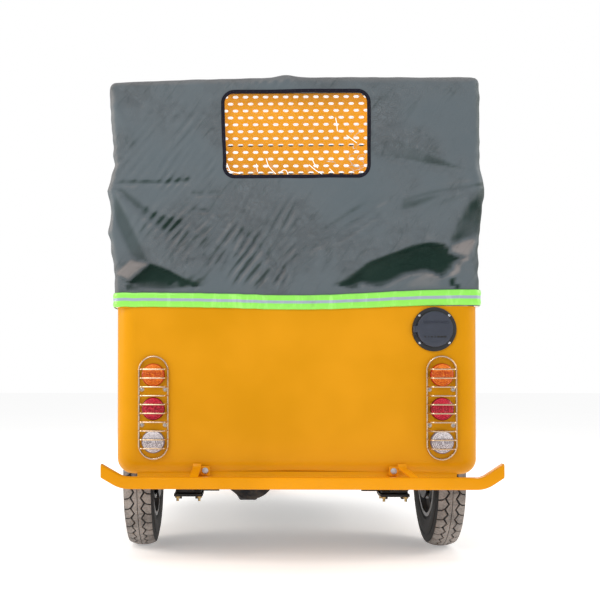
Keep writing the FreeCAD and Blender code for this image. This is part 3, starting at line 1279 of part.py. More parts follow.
def save(parts):
    """Write each node to its own file."""
    os.makedirs("parts", exist_ok=True)
    for name, shape in parts.items():
        shape.exportStep("parts/%s.step" % name)


def build():
    """Make every node of the vehicle."""
    shell = body_shell()
    left = side_panel_left(shell)
    rear_left = V(-TRACK / 2.0, REAR_AXLE_Y, TYRE_RADIUS)
    rear_right = V(TRACK / 2.0, REAR_AXLE_Y, TYRE_RADIUS)
    front = V(0.0, FRONT_AXLE_Y, TYRE_RADIUS)
    canopy = hood_canopy()
    amber = Part.makeCompound([lens_pair(LAMP_HEIGHTS[0]), front_indicators()])
    return {
        "chassis_frame": chassis_frame(),
        "floor_pan": floor_pan(),
        "rear_panel": rear_panel(shell),
        "side_panel_left": left,
        "side_panel_right": mirrored(left),
        "wheel_houses": wheel_houses(),
        "front_cowl": front_cowl(),
        "dashboard": dashboard(),
        "windshield_frame": windshield_frame().cut(canopy),
        "windshield_glass": windshield_glass(),
        "hood_canopy": canopy,
        "hood_bows": hood_bows(),
        "rear_window_pane": rear_window_pane(),
        "window_binding": window_binding(),
        "window_grille": window_grille(),
        "reflective_strip": reflective_strip(),
        "seat_bases": seat_bases(),
        "passenger_seat_cushion": passenger_seat_cushion(),
        "passenger_backrest": passenger_backrest(),
        "driver_seat_cushion": driver_seat_cushion(),
        "driver_backrest": driver_backrest(),
        "cabin_rails": cabin_rails(),
        "battery_pack": battery_pack(),
        "rear_bumper": rear_bumper(),
        "amber_lamps": amber,
        "red_lamps": lens_pair(LAMP_HEIGHTS[1]),
        "clear_lamps": lens_pair(LAMP_HEIGHTS[2]),
        "lamp_housings": lamp_housings(),
        "lamp_guards": lamp_guards(),
        "charge_port": charge_port(),
        "charge_flap": charge_flap(),
        "headlamps": headlamps(),
        "mirrors": mirrors(),
        "rear_axle": rear_axle(),
        "drive_motor": drive_motor(),
        "rear_suspension": rear_suspension(),
        "rear_tyre_left": tyre(rear_left),
        "rear_rim_left": rim(rear_left, -1.0, REAR_SPINDLE),
        "rear_tyre_right": tyre(rear_right),
        "rear_rim_right": rim(rear_right, 1.0, REAR_SPINDLE),
        "steering_fork": steering_fork(),
        "handlebar": handlebar(),
        "grips": grips(),
        "front_mudguard": front_mudguard(),
        "front_tyre": tyre(front),
        "front_rim": rim(front, 1.0, FRONT_SPINDLE).cut(axle_bore()),
    }


save(build())
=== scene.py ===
"""Dressed auto rickshaw: the looks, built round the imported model.

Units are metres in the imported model's frame: X points to the right side, Y to the front and Z up.
"""
import logging
import math
from dataclasses import dataclass, field
from enum import Enum
from typing import Callable, Iterable, Mapping, Optional, Sequence, Union

import bmesh
import bpy
from mathutils import Matrix, Vector, noise


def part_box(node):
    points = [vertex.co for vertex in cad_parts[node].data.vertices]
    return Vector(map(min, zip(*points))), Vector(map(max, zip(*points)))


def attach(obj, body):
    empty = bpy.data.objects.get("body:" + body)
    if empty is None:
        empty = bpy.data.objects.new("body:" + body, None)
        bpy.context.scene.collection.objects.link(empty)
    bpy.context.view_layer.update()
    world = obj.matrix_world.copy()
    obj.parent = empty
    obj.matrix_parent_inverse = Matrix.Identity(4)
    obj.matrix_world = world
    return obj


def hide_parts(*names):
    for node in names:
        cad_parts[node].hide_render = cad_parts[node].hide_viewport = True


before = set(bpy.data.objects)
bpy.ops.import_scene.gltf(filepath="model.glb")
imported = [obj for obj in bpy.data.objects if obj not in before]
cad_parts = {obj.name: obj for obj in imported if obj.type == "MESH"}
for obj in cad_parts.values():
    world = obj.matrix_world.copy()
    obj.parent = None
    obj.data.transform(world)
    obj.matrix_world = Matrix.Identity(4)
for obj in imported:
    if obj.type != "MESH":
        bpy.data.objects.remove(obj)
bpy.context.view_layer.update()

LOG = logging.getLogger("rickshaw")

Colour = tuple[float, float, float]
Pair = tuple[float, float]
ACROSS = Vector((1.0, 0.0, 0.0))
AHEAD = Vector((0.0, 1.0, 0.0))
UP = Vector((0.0, 0.0, 1.0))
BACK = Vector((0.0, -1.0, 0.0))
SIDES = (-1.0, 1.0)
WHITE = (1.0, 1.0, 1.0, 1.0)
NODE_SHARP = 30.0


def display(red: int, green: int, blue: int) -> Colour:
    """Turn a display colour into the shader's linear one.

    Args:
        red: Red from 0 to 255.
        green: Green from 0 to 255.
        blue: Blue from 0 to 255.

    Returns:
        The linear colour.
    """
    def channel(level: int) -> float:
        """Undo the display curve of one channel."""
        share = level / 255.0
        return share / 12.92 if share <= 0.04045 else ((share + 0.055) / 1.055) ** 2.4

    return channel(red), channel(green), channel(blue)


def ease(low: float, high: float, value: float) -> float:
    """Smooth step from 0 at low to 1 at high."""
    share = min(max((value - low) / (high - low), 0.0), 1.0)
    return share * share * (3.0 - 2.0 * share)


# Shaders

def _operator(operation: str, swapped: bool = False) -> Callable[["Value", "Number"], "Value"]:
    """Make an arithmetic operator of Value out of a Math node's operation.

    Args:
        operation: Operation of the node.
        swapped: Whether the other number comes first.

    Returns:
        The operator.
    """
    def apply(value: "Value", other: "Number") -> "Value":
        """Add the Math node."""
        pair = (other, value) if swapped else (value, other)
        return value.math(operation, *pair)

    return apply


class Value:
    """An output socket that takes part in expressions on numbers."""

    def __init__(self, graph: "Graph", socket: bpy.types.NodeSocket) -> None:
        """Wrap a socket of a graph."""
        self.graph = graph
        self.socket = socket

    def math(self, operation: str, first: "Number", second: "Number" = 0.0) -> "Value":
        """Add one Math node."""
        return self.graph.node("ShaderNodeMath", {"operation": operation}, {0: first, 1: second})

    __add__ = _operator("ADD")
    __radd__ = _operator("ADD", swapped=True)
    __sub__ = _operator("SUBTRACT")
    __rsub__ = _operator("SUBTRACT", swapped=True)
    __mul__ = _operator("MULTIPLY")
    __rmul__ = _operator("MULTIPLY", swapped=True)

    def wave(self) -> "Value":
        """Sine."""
        return self.math("SINE", self)

    def step(self, low: float, high: float) -> "Value":
        """Smooth step from 0 at low to 1 at high."""
        return self.graph.node("ShaderNodeMapRange", {"interpolation_type": "SMOOTHSTEP"},
                               {"Value": self, "From Min": low, "From Max": high})


Number = Union[Value, float]


class Graph:
    """The node tree of one material."""

    def __init__(self, name: str) -> None:
        """Start a material with its Principled shader.

        Args:
            name: Name of the material.
        """
        self.material = bpy.data.materials.new(name)
        self.material.use_nodes = True
        self.tree = self.material.node_tree
        self.shader = self.tree.nodes["Principled BSDF"]
        self.place = self.node("ShaderNodeTexCoord", output="Object")

    def node(self, kind: str, settings: Optional[Mapping[str, object]] = None,
             values: Optional[Mapping[Union[str, int], object]] = None,
             output: Union[str, int] = 0) -> Value:
        """Add a node.

        Args:
            kind: Type of the node.
            settings: Settings of the node, and a ramp's stops, which come first.
            values: Numbers, colours or links of its sockets.
            output: Name or number of the output wanted.

        Returns:
            The output's value.
        """
        made = self.tree.nodes.new(kind)
        for name, setting in (settings or {}).items():
            if name == "stops":
                self._set_stops(made.color_ramp, setting)
            else:
                setattr(made, name, setting)
        for key, value in (values or {}).items():
            self._feed(made.inputs[key], value)
        return Value(self, made.outputs[output])

    @staticmethod
    def _set_stops(ramp: bpy.types.ColorRamp, stops: Sequence[tuple[float, Colour]]) -> None:
        """Give a ramp its stops.

        Args:
            ramp: Ramp to set.
            stops: Places from 0 to 1 with their colours.
        """
        while len(ramp.elements) < len(stops):
            ramp.elements.new(1.0)
        for element, (at, colour) in zip(ramp.elements, stops):
            element.position = at
            element.color = (*colour, 1.0)

    def _feed(self, socket: bpy.types.NodeSocket, value: object) -> None:
        """Link a value to a socket, or set the socket.

        Args:
            socket: Input that takes the value.
            value: A wrapped socket, a number or a tuple.
        """
        if isinstance(value, Value):
            self.tree.links.new(value.socket, socket)
        elif isinstance(value, (tuple, list)) and len(value) == 3 and socket.type == "RGBA":
            socket.default_value = (*value, 1.0)
        else:
            socket.default_value = value

    def along(self, axis: str) -> Value:
        """Coordinate of the surface along X, Y or Z."""
        return self.node("ShaderNodeSeparateXYZ", values={0: self.place}, output=axis)

    def stretched(self, scale: Sequence[float], turn: Sequence[float] = (0.0, 0.0, 0.0)) -> Value:
        """Place on the surface, turned and scaled."""
        turned = self.node("ShaderNodeMapping", values={"Vector": self.place, "Rotation": tuple(turn)})
        return self.node("ShaderNodeMapping", values={"Vector": turned, "Scale": tuple(scale)})

    def warped(self, at: Value, scale: float, detail: float) -> Value:
        """Coordinate moved about by coloured noise.

        Args:
            at: Coordinate to move.
            scale: Scale of the noise.
            detail: Number of finer layers.

        Returns:
            The moved coordinate.
        """
        wander = self.node("ShaderNodeTexNoise", values={
            "Vector": self.place, "Scale": scale, "Detail": detail}, output="Color")
        return self.node("ShaderNodeVectorMath", {"operation": "ADD"}, {0: at, 1: wander})

    def cloud(self, scale: float, detail: float = 2.0, rough: float = 0.5, warp: float = 0.0,
              at: Optional[Value] = None) -> Value:
        """Noise on the surface."""
        return self.node("ShaderNodeTexNoise", values={
            "Vector": at or self.place, "Scale": scale, "Detail": detail, "Roughness": rough, "Distortion": warp})

    def cells(self, scale: float, feature: str = "DISTANCE_TO_EDGE", at: Optional[Value] = None,
              spread: float = 1.0) -> Value:
        """Distances in a pattern of cells."""
        return self.node("ShaderNodeTexVoronoi", {"feature": feature}, {
            "Vector": at or self.place, "Scale": scale, "Randomness": spread}, "Distance")

    def mix(self, share: Number, first: Union[Colour, Value], second: Union[Colour, Value]) -> Value:
        """Mix two colours."""
        return self.node("ShaderNodeMix", {"data_type": "RGBA"}, {0: share, 6: first, 7: second}, 2)

    def marks(self, name: str) -> Value:
        """Value of a mesh's own attribute."""
        return self.node("ShaderNodeAttribute", {"attribute_name": name}, output="Fac")

    def relief(self, height: Value, depth: float, strength: float = 1.0) -> Value:
        """Bump from a height."""
        return self.node("ShaderNodeBump", values={"Height": height, "Distance": depth, "Strength": strength})

    def surface(self, values: Mapping[str, object]) -> bpy.types.Material:
        """Set the Principled shader and give the material.

        Args:
            values: Numbers, colours or links of the shader's sockets.

        Returns:
            The material.
        """
        for name, value in values.items():
            self._feed(self.shader.inputs[name], value)
        return self.material


# Finishes

@dataclass(frozen=True)
class Finish:
    """Look of one material: its name and its main colour."""

    name: str
    colour: Colour


@dataclass(frozen=True)
class Enamel(Finish):
    """Sprayed paint with faint orange peel, dust low down and paler rubbed patches."""

    dusty: Colour = display(150, 130, 100)
    roughness: float = 0.3
    coat: float = 0.04
    dust_top: float = 0.42
    dust: float = 0.25

    def make(self) -> bpy.types.Material:
        """Build the material.

        Returns:
            The finished material.
        """
        graph = Graph(self.name)
        broad = graph.cloud(2.3, 3.0)
        fine = graph.cloud(26.0, 4.0, 0.6)
        shade = tuple(channel * 0.9 for channel in self.colour)
        light = tuple(min(channel * 1.06 + 0.006, 1.0) for channel in self.colour)
        colour = graph.mix(broad.step(0.3, 0.7), shade, light)
        low = 1.0 - graph.along("Z").step(0.1, self.dust_top)
        dust = low * fine.step(0.35, 0.75) * self.dust
        peel = graph.cloud(420.0, 1.0)
        return graph.surface({
            "Base Color": graph.mix(dust, colour, self.dusty),
            "Roughness": self.roughness + fine * 0.12 + dust * 0.8,
            "Coat Weight": self.coat, "Coat Roughness": 0.08, "Specular IOR Level": 0.09,
            "Normal": graph.relief(peel, 0.00012)})


@dataclass(frozen=True)
class CoatedCanvas(Finish):
    """Coated hood cloth: fine weave under a satin film, crinkled, with painted shade in its folds, crease streaks
    and downturned faces, and painted highlight on crease edges and upturned faces.
    """

    # deep: colour of the painted shade.
    deep: Colour
    # pale: the cloth's paler tone, also the colour of its painted highlight.
    pale: Colour
    # crinkle: height of the crinkle bumps and strength of the painted shade in the crease streaks.
    crinkle: float = 1.0
    # Emission that makes the cloth glow: painted light, since it is no lamp.
    painted_glow: float = 0.0

    def make(self) -> bpy.types.Material:
        """Build the material.

        Returns:
            The finished material.
        """
        graph = Graph(self.name)
        broad = graph.cloud(3.0, 3.0, 0.55)
        leaning = graph.stretched((1.0, 1.0, 0.22), (0.0, math.radians(-38.0), 0.0))
        creases = graph.cells(34.0, at=graph.warped(leaning, 9.0, 2.0))
        edge = 1.0 - creases.step(0.0, 0.09)
        patches = broad.step(0.42, 0.66)
        wave = graph.cloud(46.0, 4.0, 0.62, 0.6, leaning)
        weave = (graph.along("X") * 5200.0).wave() * (graph.along("Z") * 5200.0).wave()
        # Vertex attribute of painted shading: above 0.5 painted shade, below 0.5 painted highlight.
        painted_shading = graph.marks("painted_shading")
        colour = graph.mix(broad * 0.25, self.colour, self.pale)
        # Painted highlight along the crease edges.
        colour = graph.mix(edge * patches * 0.2, colour, self.pale)
        # Painted highlight where the cloth faces up.
        colour = graph.mix((1.0 - painted_shading.step(0.0, 0.5)) * 0.85, colour, self.pale)
        # Painted shade in dark streaks along the creases.
        painted_crease_shade = wave.step(0.52, 0.74) * broad.step(0.40, 0.58) * self.crinkle
        colour = graph.mix(painted_crease_shade * 0.34, colour, self.deep)
        # Painted shade in the folds and where the cloth faces down.
        colour = graph.mix(painted_shading.step(0.5, 1.0), colour, self.deep)
        height = wave * 0.55 + edge * patches * self.crinkle * 0.35 + weave * 0.012
        # The emission is a painted glow.
        return graph.surface({
            "Base Color": colour, "Roughness": 0.40 + wave * 0.14 - edge * 0.06,
            "Specular IOR Level": 0.2, "Emission Color": WHITE, "Emission Strength": self.painted_glow,
            "Normal": graph.relief(height, 0.0034)})


@dataclass(frozen=True)
class Webbing(Finish):
    """Woven tape with its ribs along the edge."""

    worn: Colour

    def make(self) -> bpy.types.Material:
        """Build the material.

        Returns:
            The finished material.
        """
        graph = Graph(self.name)
        ribs = ((graph.along("X") + graph.along("Z")) * 2600.0).wave()
        tufts = graph.cloud(240.0, 3.0)
        return graph.surface({
            "Base Color": graph.mix(tufts.step(0.45, 0.8) * 0.5, self.colour, self.worn),
            "Roughness": 0.78 + ribs * 0.05, "Specular IOR Level": 0.2,
            "Normal": graph.relief(ribs * 0.5 + tufts, 0.0005)})


@dataclass(frozen=True)
class Film(Finish):
    """Reflective woven film with a fine cell pattern, creased here and there."""

    worn: Colour
    metallic: float = 0.0

    def make(self) -> bpy.types.Material:
        """Build the material.

        Returns:
            The finished material.
        """
        graph = Graph(self.name)
        beads = graph.cells(520.0, "F1", spread=0.3)
        creases = graph.cloud(38.0, 4.0, 0.65, at=graph.stretched((1.0, 1.0, 0.3)))
        grime = graph.cloud(11.0, 4.0, 0.6)
        colour = graph.mix(creases.step(0.5, 0.72) * 0.55, self.colour, self.worn)
        return graph.surface({
            "Base Color": graph.mix(grime.step(0.62, 0.85) * 0.35, colour, display(110, 130, 90)),
            "Roughness": 0.34 + creases * 0.2, "Metallic": self.metallic, "Coat Weight": 0.3,
            "Normal": graph.relief(creases + beads * 0.25, 0.0012)})


@dataclass(frozen=True)
class ClearVinyl(Finish):
    """Clear flexible sheet, clouded by creases."""

    def make(self) -> bpy.types.Material:
        """Build the material.

        Returns:
            The finished material.
        """
        graph = Graph(self.name)
        scratches = 1.0 - graph.cells(7.0, at=graph.warped(graph.place, 5.0, 3.0)).step(0.0, 0.016)
        kept = graph.cloud(8.0, 2.0).step(0.52, 0.62)
        low = 1.0 - graph.along("Z").step(1.375, 1.47)
        right = graph.along("X").step(0.12, 0.2) * (1.0 - graph.along("Z").step(1.52, 1.6))
        smear = graph.cloud(30.0, 3.0).step(0.55, 0.8)
        cloudy = scratches * kept * (0.04 + low * 0.9 + right * 0.6) + smear * low * 0.06 + 0.012
        return graph.surface({
            "Base Color": self.colour, "Roughness": 0.06 + smear * 0.12, "IOR": 1.45,
            "Alpha": cloudy, "Specular IOR Level": 0.12,
            "Normal": graph.relief(graph.cloud(14.0, 2.0) + scratches * 0.3, 0.004)})


@dataclass(frozen=True)
class Glass(Finish):
    """Clear pane with a faint tint and dust."""

    cover: float = 0.06

    def make(self) -> bpy.types.Material:
        """Build the material.

        Returns:
            The finished material.
        """
        graph = Graph(self.name)
        dust = graph.cloud(40.0, 4.0, 0.7).step(0.5, 0.85)
        return graph.surface({
            "Base Color": self.colour, "Roughness": 0.03 + dust * 0.08, "Alpha": self.cover + dust * 0.05,
            "Coat Weight": 0.5, "Normal": graph.relief(graph.cloud(3.0), 0.0004)})


@dataclass(frozen=True)
class Upholstery(Finish):
    """Grained seat vinyl, shinier where it is sat on."""

    worn: Colour

    def make(self) -> bpy.types.Material:
        """Build the material.

        Returns:
            The finished material.
        """
        graph = Graph(self.name)
        grain = graph.cells(620.0, spread=0.9)
        pores = graph.cloud(900.0, 2.0)
        broad = graph.cloud(6.0, 3.0)
        return graph.surface({
            "Base Color": graph.mix(broad.step(0.4, 0.75) * 0.5, self.colour, self.worn),
            "Roughness": 0.5 - broad.step(0.45, 0.8) * 0.14 + grain * 0.1, "Coat Weight": 0.1,
            "Normal": graph.relief(grain.step(0.0, 0.16) + pores * 0.2, 0.00045)})


@dataclass(frozen=True)
class Rubber(Finish):
    """Rubber with dust on what stands proud, clean black in its grooves."""

    dusty: Colour
    cover: float = 0.6
    roughness: float = 0.72

    def make(self) -> bpy.types.Material:
        """Build the material.

        Returns:
            The finished material.
        """
        graph = Graph(self.name)
        grit = graph.cloud(150.0, 5.0, 0.7)
        patches = graph.cloud(12.0, 3.0)
        dust = (grit.step(0.2, 0.7) * 0.5 + patches.step(0.25, 0.7) * 0.5) * self.cover
        return graph.surface({
            "Base Color": graph.mix(dust, self.colour, self.dusty),
            "Roughness": self.roughness + grit * 0.15,
            "Normal": graph.relief(grit, 0.0005)})


@dataclass(frozen=True)
class Metal(Finish):
    """Bare or plated metal with fine scratches and a trace of grime."""

    grime: Colour
    roughness: float = 0.18
    dirt: float = 0.3
    lines: float = 0.0

    def make(self) -> bpy.types.Material:
        """Build the material.

        Returns:
            The finished material.
        """
        graph = Graph(self.name)
        spots = graph.cloud(60.0, 5.0, 0.65)
        brushed = graph.cloud(90.0, 2.0, at=graph.stretched((1.0, 14.0, 14.0)))
        dirt = spots.step(0.5, 0.78) * self.dirt
        return graph.surface({
            "Base Color": graph.mix(dirt, self.colour, self.grime), "Metallic": 1.0 - dirt * 0.7,
            "Roughness": self.roughness + dirt * 0.5 + brushed * (0.08 + self.lines),
            "Normal": graph.relief(brushed * self.lines + spots * 0.3, 0.0003)})


@dataclass(frozen=True)
class Moulded(Finish):
    """Moulded plastic with a fine spark-eroded grain."""

    roughness: float = 0.42
    grain: float = 0.00018
    coat: float = 0.0

    def make(self) -> bpy.types.Material:
        """Build the material.

        Returns:
            The finished material.
        """
        graph = Graph(self.name)
        pits = graph.cells(1400.0, "F1")
        broad = graph.cloud(20.0, 3.0)
        pale = tuple(channel * 1.5 + 0.01 for channel in self.colour)
        return graph.surface({
            "Base Color": graph.mix(broad.step(0.45, 0.8) * 0.35, self.colour, pale),
            "Roughness": self.roughness + broad * 0.12, "Coat Weight": self.coat,
            "Normal": graph.relief(pits, self.grain)})


@dataclass(frozen=True)
class Lens(Finish):
    """Coloured moulded lens, with painted highlights and glints where its rings and flutes catch the light."""

    # Colour of the painted highlights.
    painted_highlight: Colour
    through: float = 0.25

    def make(self) -> bpy.types.Material:
        """Build the material.

        Returns:
            The finished material.
        """
        graph = Graph(self.name)
        # The facet attribute holds the painted highlights and glints.
        painted_glints = graph.marks("facet")
        specks = graph.cells(170.0, "F1", spread=0.6).step(0.2, 0.5)
        return graph.surface({
            "Base Color": graph.mix(painted_glints * (0.55 + specks * 0.45), self.colour, self.painted_highlight),
            "Roughness": 0.16 + specks * 0.1, "Transmission Weight": self.through, "IOR": 1.49,
            "Coat Weight": 0.25, "Coat Roughness": 0.04, "Specular IOR Level": 0.2,
            "Normal": graph.relief(specks, 0.0006)})


class Palette:
    """Every finish of the vehicle, made once."""

    def __init__(self) -> None:
        """Make the materials."""
        self.yellow = Enamel("yellow_enamel", display(219, 149, 0), dust=0.12).make()
        self.bumper = Enamel("bumper_enamel", display(231, 152, 0), roughness=0.26, dust=0.06).make()
        self.black_paint = Enamel("black_chassis_paint", display(30, 30, 32), display(110, 102, 92),
                                  roughness=0.42, coat=0.2, dust_top=0.5, dust=0.5).make()
        self.grey_paint = Enamel("grey_floor_paint", display(92, 96, 98), display(150, 142, 130),
                                 roughness=0.55, coat=0.0, dust_top=0.6, dust=0.5).make()
        self.silver_paint = Enamel("silver_wheel_paint", display(104, 106, 108), display(138, 130, 122),
                                   roughness=0.34, coat=0.3, dust_top=0.6, dust=0.5).make()
        # Hood cloth: its colour, the painted shade of its folds, and its paler tone that is also its painted
        # highlight.
        self.canvas = CoatedCanvas("hood_cloth", display(84, 97, 104), display(14, 42, 35),
                                   display(142, 136, 134)).make()
        # Hood lining: its colour, painted shade, paler tone and painted highlight, and a glow that is painted
        # light.
        self.glowing_lining = CoatedCanvas("hood_lining", display(226, 228, 226), display(170, 172, 170),
                                   display(240, 240, 238), crinkle=0.4, painted_glow=0.55).make()
        self.binding = Webbing("window_binding_tape", display(22, 20, 34), display(46, 44, 60)).make()
        self.lime = Film("lime_film", display(142, 232, 84), display(176, 250, 128)).make()
        self.stripe = Film("grey_stripe_film", display(160, 172, 190), display(190, 200, 212), 0.25).make()
        self.vinyl = ClearVinyl("clear_window_vinyl", (0.94, 0.95, 0.97)).make()
        self.glass = Glass("windshield_pane", (0.75, 0.82, 0.80)).make()
        self.seat = Upholstery("seat_vinyl_black", display(34, 34, 37), display(62, 61, 62)).make()
        self.tread = Rubber("tread_rubber", display(66, 62, 60), display(166, 158, 152), 0.95, 0.8).make()
        self.carcass = Rubber("sidewall_rubber", display(15, 15, 16), display(52, 50, 48), 0.3, 0.6).make()
        self.rubber = Rubber("black_rubber", display(26, 26, 27), display(60, 58, 56), 0.3).make()
        self.chrome = Metal("plated_wire", display(206, 182, 152), display(120, 92, 60), 0.22, 0.5).make()
        self.zinc = Metal("zinc_fastener", display(190, 192, 198), display(120, 112, 104), 0.28, 0.4).make()
        self.brass = Metal("passivated_fastener", display(196, 166, 112), display(110, 84, 52), 0.34, 0.5).make()
        self.steel = Metal("oiled_spring_steel", display(58, 56, 55), display(44, 38, 33), 0.42, 0.5, 0.2).make()
        self.alloy = Metal("cast_alloy", display(150, 151, 152), display(86, 82, 76), 0.5, 0.5).make()
        self.mirror = Metal("mirror_face", display(236, 238, 240), display(200, 200, 200), 0.02, 0.05).make()
        self.plastic = Moulded("port_plastic", display(44, 50, 64), 0.36, coat=0.1).make()
        self.black_plastic = Moulded("black_plastic", display(20, 22, 26), 0.36, coat=0.2).make()
        self.battery = Moulded("battery_case_plastic", display(62, 68, 76), 0.5).make()
        # Each lens: its colour, then the colour of its painted highlights.
        self.amber = Lens("amber_lens", display(180, 40, 0), display(255, 146, 40), 0.0).make()
        self.red = Lens("red_lens", display(120, 0, 14), display(232, 52, 78), 0.0).make()
        self.clear = Lens("clear_lens", display(112, 104, 114), display(250, 245, 250), 0.0).make()


# Meshes

def polar(radius: float, turn: float) -> Pair:
    """Point of a circle about the origin, at an angle in radians."""
    return radius * math.cos(turn), radius * math.sin(turn)


def turns(steps: int) -> list[float]:
    """Angles of even steps round a circle, in radians."""
    return [2.0 * math.pi * i / steps for i in range(steps)]


def add_object(name: str, data: bpy.types.ID) -> bpy.types.Object:
    """Make an object of some data and link it to the scene.

    Args:
        name: Name of the object.
        data: Mesh, light or camera that it shows.

    Returns:
        The new object.
    """
    made = bpy.data.objects.new(name, data)
    bpy.context.scene.collection.objects.link(made)
    return made


def shade_smooth(mesh: bpy.types.Mesh, sharp: Optional[float] = None) -> None:
    """Shade a mesh smooth, with sharp edges above an angle in degrees if one is given.

    Args:
        mesh: Mesh to shade.
        sharp: Angle from which an edge stays sharp.
    """
    mesh.polygons.foreach_set("use_smooth", [True] * len(mesh.polygons))
    if sharp is not None:
        mesh.set_sharp_from_angle(angle=math.radians(sharp))


def thicken(made: bpy.types.Object, thickness: float) -> bpy.types.Modifier:
    """Give a sheet its thickness.

    Args:
        made: Object with the sheet's mesh.
        thickness: Thickness in metres.

    Returns:
        The modifier.
    """
    thick = made.modifiers.new("thickness", "SOLIDIFY")
    thick.thickness = thickness
    return thick


class Form:
    """Points and faces gathered into one mesh."""

    def __init__(self) -> None:
        """Start with nothing."""
        self.points: list[Vector] = []
        self.faces: list[tuple[int, ...]] = []
        self.tints: list[int] = []

    def ring(self, points: Iterable[Vector]) -> list[int]:
        """Add points and give their numbers.

        Args:
            points: Points in their order.

        Returns:
            The points' numbers.
        """
        start = len(self.points)
        self.points.extend(points)
        return list(range(start, len(self.points)))

    def face(self, corners: Sequence[int], tint: int = 0) -> None:
        """Add one face, without the corners that repeat at an apex.

        Args:
            corners: Numbers of the corners.
            tint: Slot of the finish.
        """
        distinct = tuple(dict.fromkeys(corners))
        if len(distinct) > 2:
            self.faces.append(distinct)
            self.tints.append(tint)

    def cap(self, rows: Sequence[Sequence[int]], tint: int = 0) -> None:
        """Close both ends of a run of rings."""
        self.face(rows[0][::-1], tint)
        self.face(rows[-1], tint)

    def skin(self, rows: Sequence[Sequence[int]], closed: bool = True, looped: bool = False,
             tint: int = 0) -> None:
        """Join rows of points by quads.

        Args:
            rows: Rows of point numbers, all of one length.
            closed: Whether each row is a closed ring.
            looped: Whether the last row meets the first.
            tint: Number of the finish.
        """
        pairs = list(zip(rows, rows[1:])) + ([(rows[-1], rows[0])] if looped else [])
        for lower, upper in pairs:
            count = len(lower)
            for i in range(count if closed else count - 1):
                j = (i + 1) % count
                self.face((lower[i], lower[j], upper[j], upper[i]), tint)

    def lathe(self, profile: Sequence[Pair], centre: Vector, axis: Vector, steps: int = 48, tint: int = 0,
              closed: bool = False) -> None:
        """Turn a profile about an axis.

        Args:
            profile: Pairs of place along the axis and radius; a radius of 0 makes a point.
            centre: Point of the axis where the place is 0.
            axis: Direction of the axis.
            steps: Number of steps round.
            tint: Number of the finish.
            closed: Whether the profile's end meets its start.
        """
        along = axis.normalized()
        side = along.orthogonal().normalized()
        other = along.cross(side)
        rows = []
        for place, radius in profile:
            middle = centre + along * place
            if radius <= 0.0:
                rows.append(self.ring([middle]) * steps)
                continue
            rows.append(self.ring(middle + (side * math.cos(t) + other * math.sin(t)) * radius
                                  for t in turns(steps)))
        self.skin(rows, looped=closed, tint=tint)

    def sweep(self, path: Sequence[Vector], section: Sequence[Pair], up: Vector, looped: bool = False,
              tint: int = 0) -> None:
        """Carry a flat section along a path.

        Args:
            path: Points of the path.
            section: Pairs of place across and upward.
            up: Direction that the section's upward side keeps to.
            looped: Whether the path is closed.
            tint: Number of the finish.
        """
        count = len(path)
        rows = []
        for i, point in enumerate(path):
            before = path[i - 1] if looped or i else point
            after = path[(i + 1) % count] if looped or i < count - 1 else point
            ahead = (after - before).normalized()
            across = ahead.cross(up).normalized()
            over = across.cross(ahead)
            turn_in = (point - before).normalized() if before != point else ahead
            widen = 1.0 / max(ahead.dot(turn_in), 0.5)
            rows.append(self.ring(point + across * (u * widen) + over * v for u, v in section))
        self.skin(rows, looped=looped, tint=tint)
        if not looped:
            self.cap(rows, tint)

    def wire(self, path: Sequence[Vector], radius: float, sides: int = 10, looped: bool = False,
             tint: int = 0) -> None:
        """Round bar along a path, with rounded ends.

        Args:
            path: Points of the path.
            radius: Radius of the bar.
            sides: Number of sides.
            looped: Whether the path is closed.
            tint: Number of the finish.
        """
        count = len(path)
        ahead = (path[1] - path[0]).normalized()
        side = ahead.orthogonal().normalized()
        rows = []
        for i, point in enumerate(path):
            before = path[i - 1] if looped or i else point
            after = path[(i + 1) % count] if looped or i < count - 1 else point
            ahead = (after - before).normalized()
            side = (side - ahead * side.dot(ahead)).normalized()
            other = ahead.cross(side)
            rows.append(self.ring(point + (side * math.cos(t) + other * math.sin(t)) * radius
                                  for t in turns(sides)))
        if looped:
            self._close_twist(rows, sides)
        self.skin(rows, looped=looped, tint=tint)
        if not looped:
            self.cap(rows, tint)

    def _close_twist(self, rows: list[list[int]], sides: int) -> None:
        """Shift the last ring's order so that a closed bar meets itself.

        Args:
            rows: Rings along the bar, changed in place.
            sides: Points of one ring.
        """
        first = self.points[rows[0][0]]
        shift = min(range(sides), key=lambda k: (self.points[rows[-1][k]] - first).length)
        rows[-1] = rows[-1][shift:] + rows[-1][:shift]

    def plate(self, outline: Sequence[Pair], place: Matrix, thickness: float, bevel: float = 0.001,
              tint: int = 0) -> None:
        """Flat plate with chamfered edges.

        Args:
            outline: Corners in the plate's own plane, going anticlockwise.
            place: Matrix whose X and Y lie in the plate and whose Z is its normal.
            thickness: Thickness along the normal.
            bevel: Size of the chamfer.
            tint: Number of the finish.
        """
        inner = inset(outline, bevel)
        levels = ((inner, 0.0), (outline, bevel), (outline, thickness - bevel), (inner, thickness))
        rows = [self.ring(place @ Vector((u, v, w)) for u, v in line) for line, w in levels]
        self.skin(rows, tint=tint)
        self.cap(rows, tint)

    def bolt(self, spot: Vector, axis: Vector, size: float = 0.006, tint: int = 0) -> None:
        """Hexagon bolt head on a washer.

        Args:
            spot: Point on the surface.
            axis: Direction out of the surface.
            size: Radius of the thread.
            tint: Number of the finish.
        """
        self.lathe([(0.0, 0.0), (0.0, size * 2.1), (size * 0.3, size * 2.1), (size * 0.34, size * 1.9),
                    (size * 0.34, 0.0)], spot, axis, 20, tint)
        place = facing(spot + axis * size * 0.3, axis)
        self.plate(circle(size * 1.75, 6), place, size * 1.15, size * 0.18, tint)
        self.lathe([(0.0, size * 1.15), (size * 0.1, size * 1.1), (size * 0.1, 0.0)],
                   spot + axis * size * 1.43, axis, 16, tint)

